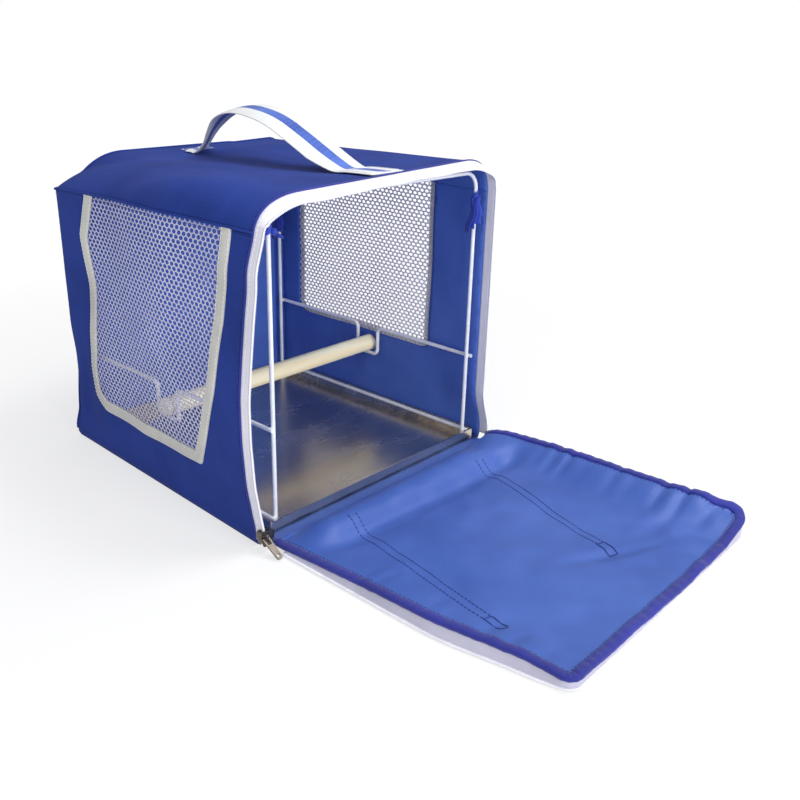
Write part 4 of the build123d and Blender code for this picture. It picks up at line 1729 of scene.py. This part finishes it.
@dataclass
class Handle:
    """The webbing handle sewn along the roof."""

    form: CoverForm
    looks: Finishes
    width: float = 38.0
    thickness: float = 1.8
    stripe: float = 5.6
    curve: tuple = ((93.0, 269.5), (81.0, 283.0), (64.0, 296.0), (38.0, 304.0), (12.0, 303.5), (-14.0, 298.0),
                    (-42.0, 286.5), (-64.0, 276.5), (-80.0, 270.0))
    twist: float = 36.0
    sewn_up: float = 1.0
    free_height: float = 12.0
    curl: float = 1.6
    tilt: float = 2.4
    edge_share: float = 0.35
    box_inset: float = 3.0
    box_up: float = 2.0
    columns: tuple = (-1.0, -0.98, -0.8, -0.6, -0.4, -0.295, -0.15, 0.0, 0.15, 0.295, 0.4, 0.6, 0.8, 0.98, 1.0)
    rear_tail: tuple = (112.0, 107.0, 102.0)
    front_tail: tuple = (-93.0, -106.0, -120.0, -134.0)
    sewn: tuple = ((-131.0, -100.0), (103.0, 110.0))

    def path(self) -> list[Flat]:
        """The strap's middle line, from the back to the door.

        Returns:
            Points in depth and height.
        """
        rear, front = ([(y, self.form.roof(0.0, y) + self.sewn_up) for y in tail]
                       for tail in (self.rear_tail, self.front_tail))
        knots = [Vector(p) for p in rear + list(self.curve) + front]
        out = []
        for k in range(len(knots) - 1):
            p0, p1, p2, p3 = (knots[int(clamp(k + i, 0, len(knots) - 1))] for i in (-1, 0, 1, 2))
            for t in shares(8)[:-1]:
                out.append(tuple(0.5 * ((2 * p1) + (p2 - p0) * t + (2 * p0 - 5 * p1 + 4 * p2 - p3) * t * t
                                        + (3 * p1 - p0 - 3 * p2 + p3) * t ** 3)))
        return out + [tuple(knots[-1])]

    def build(self) -> None:
        """Makes the strap with its woven stripe, and the stitches of its two tails."""
        path = self.path()
        rows = []
        for k, (y, z) in enumerate(path):
            run = heading(path, k)
            normal = leftward(run) if run.x > 0 else Vector((run.y, -run.x))
            free = clamp((z - self.form.roof(0.0, y) - self.sewn_up) / self.free_height)
            turn = math.radians(self.twist) * smooth(y, 45.0, 100.0) * (1 - 0.5 * smooth(y, 100.0, 126.0))
            section = []
            for side in (1.0, -1.0):
                for c in (self.columns if side > 0 else self.columns[::-1]):
                    curl = self.curl * (c * c) * free - 0.5 * free
                    edge = self.edge_share if abs(c) > 0.97 else 1.0
                    off = side * self.thickness / 2 * edge - curl
                    tilt = self.tilt * c * free
                    across = c * self.width / 2
                    section.append((across * math.cos(turn), y + across * math.sin(turn) + normal.x * (off + tilt),
                                    z + normal.y * (off + tilt)))
            rows.append(section)
        strap = strip("handle_strap", rows, self.looks.webbing)
        strap.data.materials.append(self.looks.stripe)
        for face in strap.data.polygons:
            if abs(face.center.x) < self.stripe * MM and len(face.vertices) == 4:
                face.material_index = 1
        piece(strap, Body.COVER, ["handle_webbing"])
        boxes = []
        for y0, y1 in self.sewn:
            w = self.width / 2 - self.box_inset
            corners = [(-w, y0), (w, y0), (w, y1), (-w, y1), (-w, y0)]
            boxes.append([(x, y, self.form.roof(0.0, y) + self.box_up) for x, y in
                          (lerp_flat(a, b, k / 10) for a, b in zip(corners, corners[1:]) for k in range(10))])
        box = place_along("handle_stitches", boxes, lambda p: UP, STRAP_ROW, STITCH, self.looks.white_thread)
        piece(box, Body.COVER)


@dataclass
class Ties:
    """The ribbons that tie the cover to the frame's four uprights."""

    form: CoverForm
    looks: Finishes
    ribbon: float = 5.0
    thick: float = 0.7
    turn_radius: float = 2.5
    knot_length: float = 5.4
    long_tails: tuple = ((32.0, 1.0), (24.0, -1.0), (28.0, 0.2))
    short_tails: tuple = ((5.0, 1.0), (4.0, -1.0))
    long_width: float = 1.7
    section: tuple = ((-1, 0.4), (-0.6, 1), (0.6, 1), (1, 0.4), (1, -0.4), (0.6, -1), (-0.6, -1), (-1, -0.4))

    def band(self, name: str, path: Sequence[Vector], across: Vector, scale: float = 1.0) -> bpy.types.Object:
        """A flat ribbon along a path.

        Args:
            name: the ribbon's name.
            path: its middle line.
            across: the direction of its width.
            scale: how much wider it is than the plain ribbon.

        Returns:
            The object.
        """
        wide = across.normalized()
        rows = []
        for k, p in enumerate(path):
            thin = heading(path, k).cross(wide).normalized()
            rows.append([tuple(p + wide * a * scale * self.ribbon / 2 + thin * b * self.thick / 2)
                         for a, b in self.section])
        return strip(name, rows, self.looks.ribbon)

    def build(self) -> None:
        """Makes a knotted ribbon at each of the four uprights."""
        for end in ("front", "rear"):
            for side in Side:
                self.tie(end, side)

    def tie(self, end: str, side: Side) -> None:
        """Makes one ribbon: its turns round the wire, its knot, its tails and its strap to the wall.

        Args:
            end: which arch it is tied to.
            side: which upright of it.
        """
        node = f"{end}_{side.name.lower()}_tie"
        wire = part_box(f"{end}_arch_wire")
        post = Vector((side.value * (wire[1].x / MM - WIRE_RADIUS), (wire[0].y + wire[1].y) / 2 / MM, 0))
        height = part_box(node)[1].z / MM - 4.5
        wound = [post + Vector((math.cos(a) * self.turn_radius, math.sin(a) * self.turn_radius, height - 3 + 1.4 * a))
                 for a in (0.35 * k for k in range(19))]
        parts = [self.band(f"{node}_wrap", wound, UP + Vector((0.1, 0, 0)))]
        knot_at = post + Vector((-side.value * 3.2, -2.6, height + 2))
        knot = [[tuple(knot_at + Vector((math.cos(a) * (1.2 + 1.5 * math.sin(math.pi * t)),
                                         (t - 0.5) * self.knot_length,
                                         math.sin(a) * (1.3 + 1.6 * math.sin(math.pi * t))))) for a in turns(8)]
                for t in shares(6)]
        parts.append(strip(f"{node}_knot", knot, self.looks.ribbon))
        tails, scale = (self.long_tails, self.long_width) if side is Side.RIGHT else (self.short_tails, 1.0)
        for drop, swing in tails:
            tail = [knot_at + Vector((-side.value * 3.5 * math.sin(1.6 * t) * (1 + 0.3 * swing),
                                      swing * 4.5 * t - 1.0 + 1.2 * math.sin(9.0 * t), -drop * t))
                    for t in shares(14)]
            parts.append(self.band(f"{node}_tail", tail, Vector((0.4 * swing, 1.0, 0.1)), scale))
        wall = Vector(self.form.wall(side, post.y, height, -1.4))
        start = post + Vector((side.value * self.turn_radius, 0, height))
        reach = [start.lerp(wall, t) + Vector((0, 0, -2.0 * math.sin(math.pi * t))) for t in shares(6)]
        parts.append(self.band(f"{node}_strap", reach, UP))
        piece(join(f"{node}_ribbon", parts), Body.COVER, [node])


def join(name: str, parts: Sequence[bpy.types.Object]) -> bpy.types.Object:
    """Joins pieces of one finish into one object.

    Args:
        name: the joined piece's name.
        parts: the pieces, which are used up.

    Returns:
        The joined piece.
    """
    bm = bmesh.new()
    for part in parts:
        bm.from_mesh(part.data)
    mesh = bpy.data.meshes.new(name)
    bm.to_mesh(mesh)
    bm.free()
    mesh.materials.append(parts[0].data.materials[0])
    mesh.shade_smooth()
    for part in parts:
        bpy.data.objects.remove(part)
    return linked(name, mesh)


@dataclass
class HardParts:
    """The frame, tray, perch, slider and pull, which keep their CAD shapes."""

    looks: Finishes
    upright_y: float = 131.0
    bead: Point = (1.1, 2.0, 1.9)
    bead_steps: tuple = (-0.98, -0.7, -0.3, 0.0, 0.3, 0.7, 0.98)

    def build(self) -> None:
        """Dresses each carried-over node."""
        finishes = {
            self.looks.wire: ("front_arch_wire", "rear_arch_wire", "left_bottom_rail", "right_bottom_rail",
                              "left_perch_rail", "right_perch_rail"),
            self.looks.tray: ("tray",),
            self.looks.wood: ("perch",),
            self.looks.metal: ("zip_slider", "zip_pull_tab", "zip_end_stop"),
        }
        for material, names in finishes.items():
            for name in names:
                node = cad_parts[name]
                node.data.materials.clear()
                node.data.materials.append(material)
                log.info("%s: CAD node in %s", name, material.name)
        self.welds()

    def welds(self) -> None:
        """Makes the small weld beads where the rails cross the uprights."""
        beads = []
        for rail in ("bottom_rail", "perch_rail"):
            for side in Side:
                low, high = (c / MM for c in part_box(f"{side.name.lower()}_{rail}"))
                z = high.z - WIRE_RADIUS
                x = (low.x + high.x) / 2 - side.value * WIRE_RADIUS
                thick, long, tall = self.bead
                for y in (-self.upright_y, self.upright_y):
                    rows = [[(x + thick * (1 - abs(t)) * math.cos(a), y + long * t,
                              z + tall * (1 - t * t) ** 0.5 * math.sin(a)) for a in turns(8)]
                            for t in self.bead_steps]
                    beads.append(strip("bead", rows, self.looks.wire))
        piece(join("frame_weld_beads", beads), Body.COVER)


# ---------------------------------------------------------------------------------------------
# studio
# ---------------------------------------------------------------------------------------------


WHITE = (1.0, 1.0, 1.0, 1.0)


@dataclass(frozen=True)
class Lamp:
    """A square soft light: its place and aim in millimetres, its side in metres and its power in watts."""

    name: str
    place: Point
    aim: Point
    size: float
    power: float

    def hang(self) -> None:
        """Hangs the lamp, facing what it aims at."""
        data = bpy.data.lights.new(self.name, "AREA")
        data.size, data.energy = self.size, self.power
        away = (Vector(self.place) - Vector(self.aim)).normalized()
        turned = away.to_track_quat("Z", "Y").to_matrix().to_4x4()
        linked(self.name, data).matrix_world = Matrix.Translation(Vector(self.place) * MM) @ turned


@dataclass
class Studio:
    """The camera, the pale floor and the soft lights."""

    eye: Point = (-535.7, -617.9, 371.1)
    azimuth: float = -49.1
    elevation: float = 22.1
    roll: float = 1.7
    focal: float = 911.0
    image: float = 800.0
    sensor: float = 36.0
    floor_half: float = 4000.0
    floor_z: float = -0.4
    lamps: tuple = (Lamp("front", (-250.0, -1600.0, 620.0), (0.0, 0.0, 140.0), 0.8, 14.5),
                    Lamp("key", (450.0, -500.0, 1400.0), (0.0, -250.0, 0.0), 0.55, 11.0),
                    Lamp("side", (-1300.0, -500.0, 600.0), (0.0, 0.0, 120.0), 0.9, 2.5))

    def camera(self) -> None:
        """Sets up the camera at the photograph's viewing angle."""
        az, el, roll = (math.radians(a) for a in (self.azimuth, self.elevation, self.roll))
        back = Vector((math.sin(az) * math.cos(el), -math.cos(az) * math.cos(el), math.sin(el)))
        right = (-back).cross(UP).normalized()
        up = right.cross(-back)
        right, up = (right * math.cos(roll) + up * math.sin(roll), up * math.cos(roll) - right * math.sin(roll))
        data = bpy.data.cameras.new("view")
        data.sensor_width = self.sensor
        data.lens = self.focal * self.sensor / self.image
        data.clip_start = 0.01
        camera = linked("view", data)
        matrix = Matrix((right, up, back)).transposed().to_4x4()
        matrix.translation = Vector(self.eye) * MM
        camera.matrix_world = matrix
        bpy.context.scene.camera = camera

    def floor(self) -> None:
        """Lays the pale floor, which keeps the object's soft shadow."""
        half, z = self.floor_half, self.floor_z
        floor = make("studio_floor", [(-half, -half, z), (half, -half, z), (half, half, z), (-half, half, z)],
                     [(0, 1, 2, 3)], self.paper())

    def paper(self) -> bpy.types.Material:
        """White floor paper that shows white to the camera and in reflections.

        Returns:
            The paper's material.
        """
        tree, shader, material = dressed("white_floor_paper")
        shader.inputs["Base Color"].default_value = (0.86, 0.86, 0.87, 1.0)
        shader.inputs["Roughness"].default_value = 0.9
        light = add_node(tree, "ShaderNodeLightPath")
        seen = math_node(tree, "MAXIMUM", light.outputs["Is Camera Ray"], light.outputs["Is Glossy Ray"])
        seen = math_node(tree, "MAXIMUM", seen, light.outputs["Is Transmission Ray"])
        place = add_node(tree, "ShaderNodeTexCoord")
        spot = add_node(tree, "ShaderNodeVectorMath", {1: (0.0, -0.1, 0.0)}, operation="DISTANCE")
        tree.links.new(place.outputs["Object"], spot.inputs[0])
        far = add_node(tree, "ShaderNodeMapRange",
                       {"From Min": 0.25, "From Max": 0.95, "To Min": 0.62, "To Max": 1.0})
        tree.links.new(spot.outputs["Value"], far.inputs["Value"])
        share = math_node(tree, "MULTIPLY", seen, far.outputs[0])
        glow = add_node(tree, "ShaderNodeEmission", {"Color": WHITE, "Strength": 1.03})
        mix = add_node(tree, "ShaderNodeMixShader", {0: share})
        tree.links.new(shader.outputs[0], mix.inputs[1])
        tree.links.new(glow.outputs[0], mix.inputs[2])
        tree.links.new(mix.outputs[0], tree.nodes["Material Output"].inputs["Surface"])
        return material

    def world(self) -> None:
        """A pale surround that shows white behind the object."""
        world = bpy.data.worlds.new("studio")
        bpy.context.scene.world = world
        world.use_nodes = True
        tree = world.node_tree
        soft = tree.nodes["Background"]
        soft.inputs["Color"].default_value = (0.93, 0.95, 1.0, 1.0)
        soft.inputs["Strength"].default_value = 0.52
        white = add_node(tree, "ShaderNodeBackground", {"Color": WHITE, "Strength": 1.0})
        light = add_node(tree, "ShaderNodeLightPath")
        seen = math_node(tree, "MAXIMUM", light.outputs["Is Camera Ray"], light.outputs["Is Transmission Ray"])
        mix = add_node(tree, "ShaderNodeMixShader", {0: seen})
        tree.links.new(soft.outputs[0], mix.inputs[1])
        tree.links.new(white.outputs[0], mix.inputs[2])
        tree.links.new(mix.outputs[0], tree.nodes["World Output"].inputs["Surface"])

    def build(self) -> None:
        """Sets up the whole studio."""
        bpy.context.scene.view_settings.view_transform = "Standard"
        self.camera()
        self.floor()
        self.world()
        for lamp in self.lamps:
            lamp.hang()


STITCH: bpy.types.Object | None = None
TOOTH: bpy.types.Object | None = None


def main() -> None:
    """Builds the carrier and the studio, piece by piece."""
    global STITCH, TOOTH
    logging.basicConfig(level=logging.INFO, format="%(name)s %(message)s")
    looks = Finishes()
    STITCH, TOOTH = stitch_unit(), tooth_unit()
    Studio().build()
    form = CoverForm()
    cover = Cover(form, looks)
    cover.walls()
    cover.roof()
    cover.back()
    cover.base()
    Opening(form, looks).build()
    Door(looks).build()
    Handle(form, looks).build()
    Ties(form, looks).build()
    HardParts(looks).build()
    for unit in (STITCH, TOOTH):
        bpy.data.objects.remove(unit)


if __name__ == "__main__":
    main()
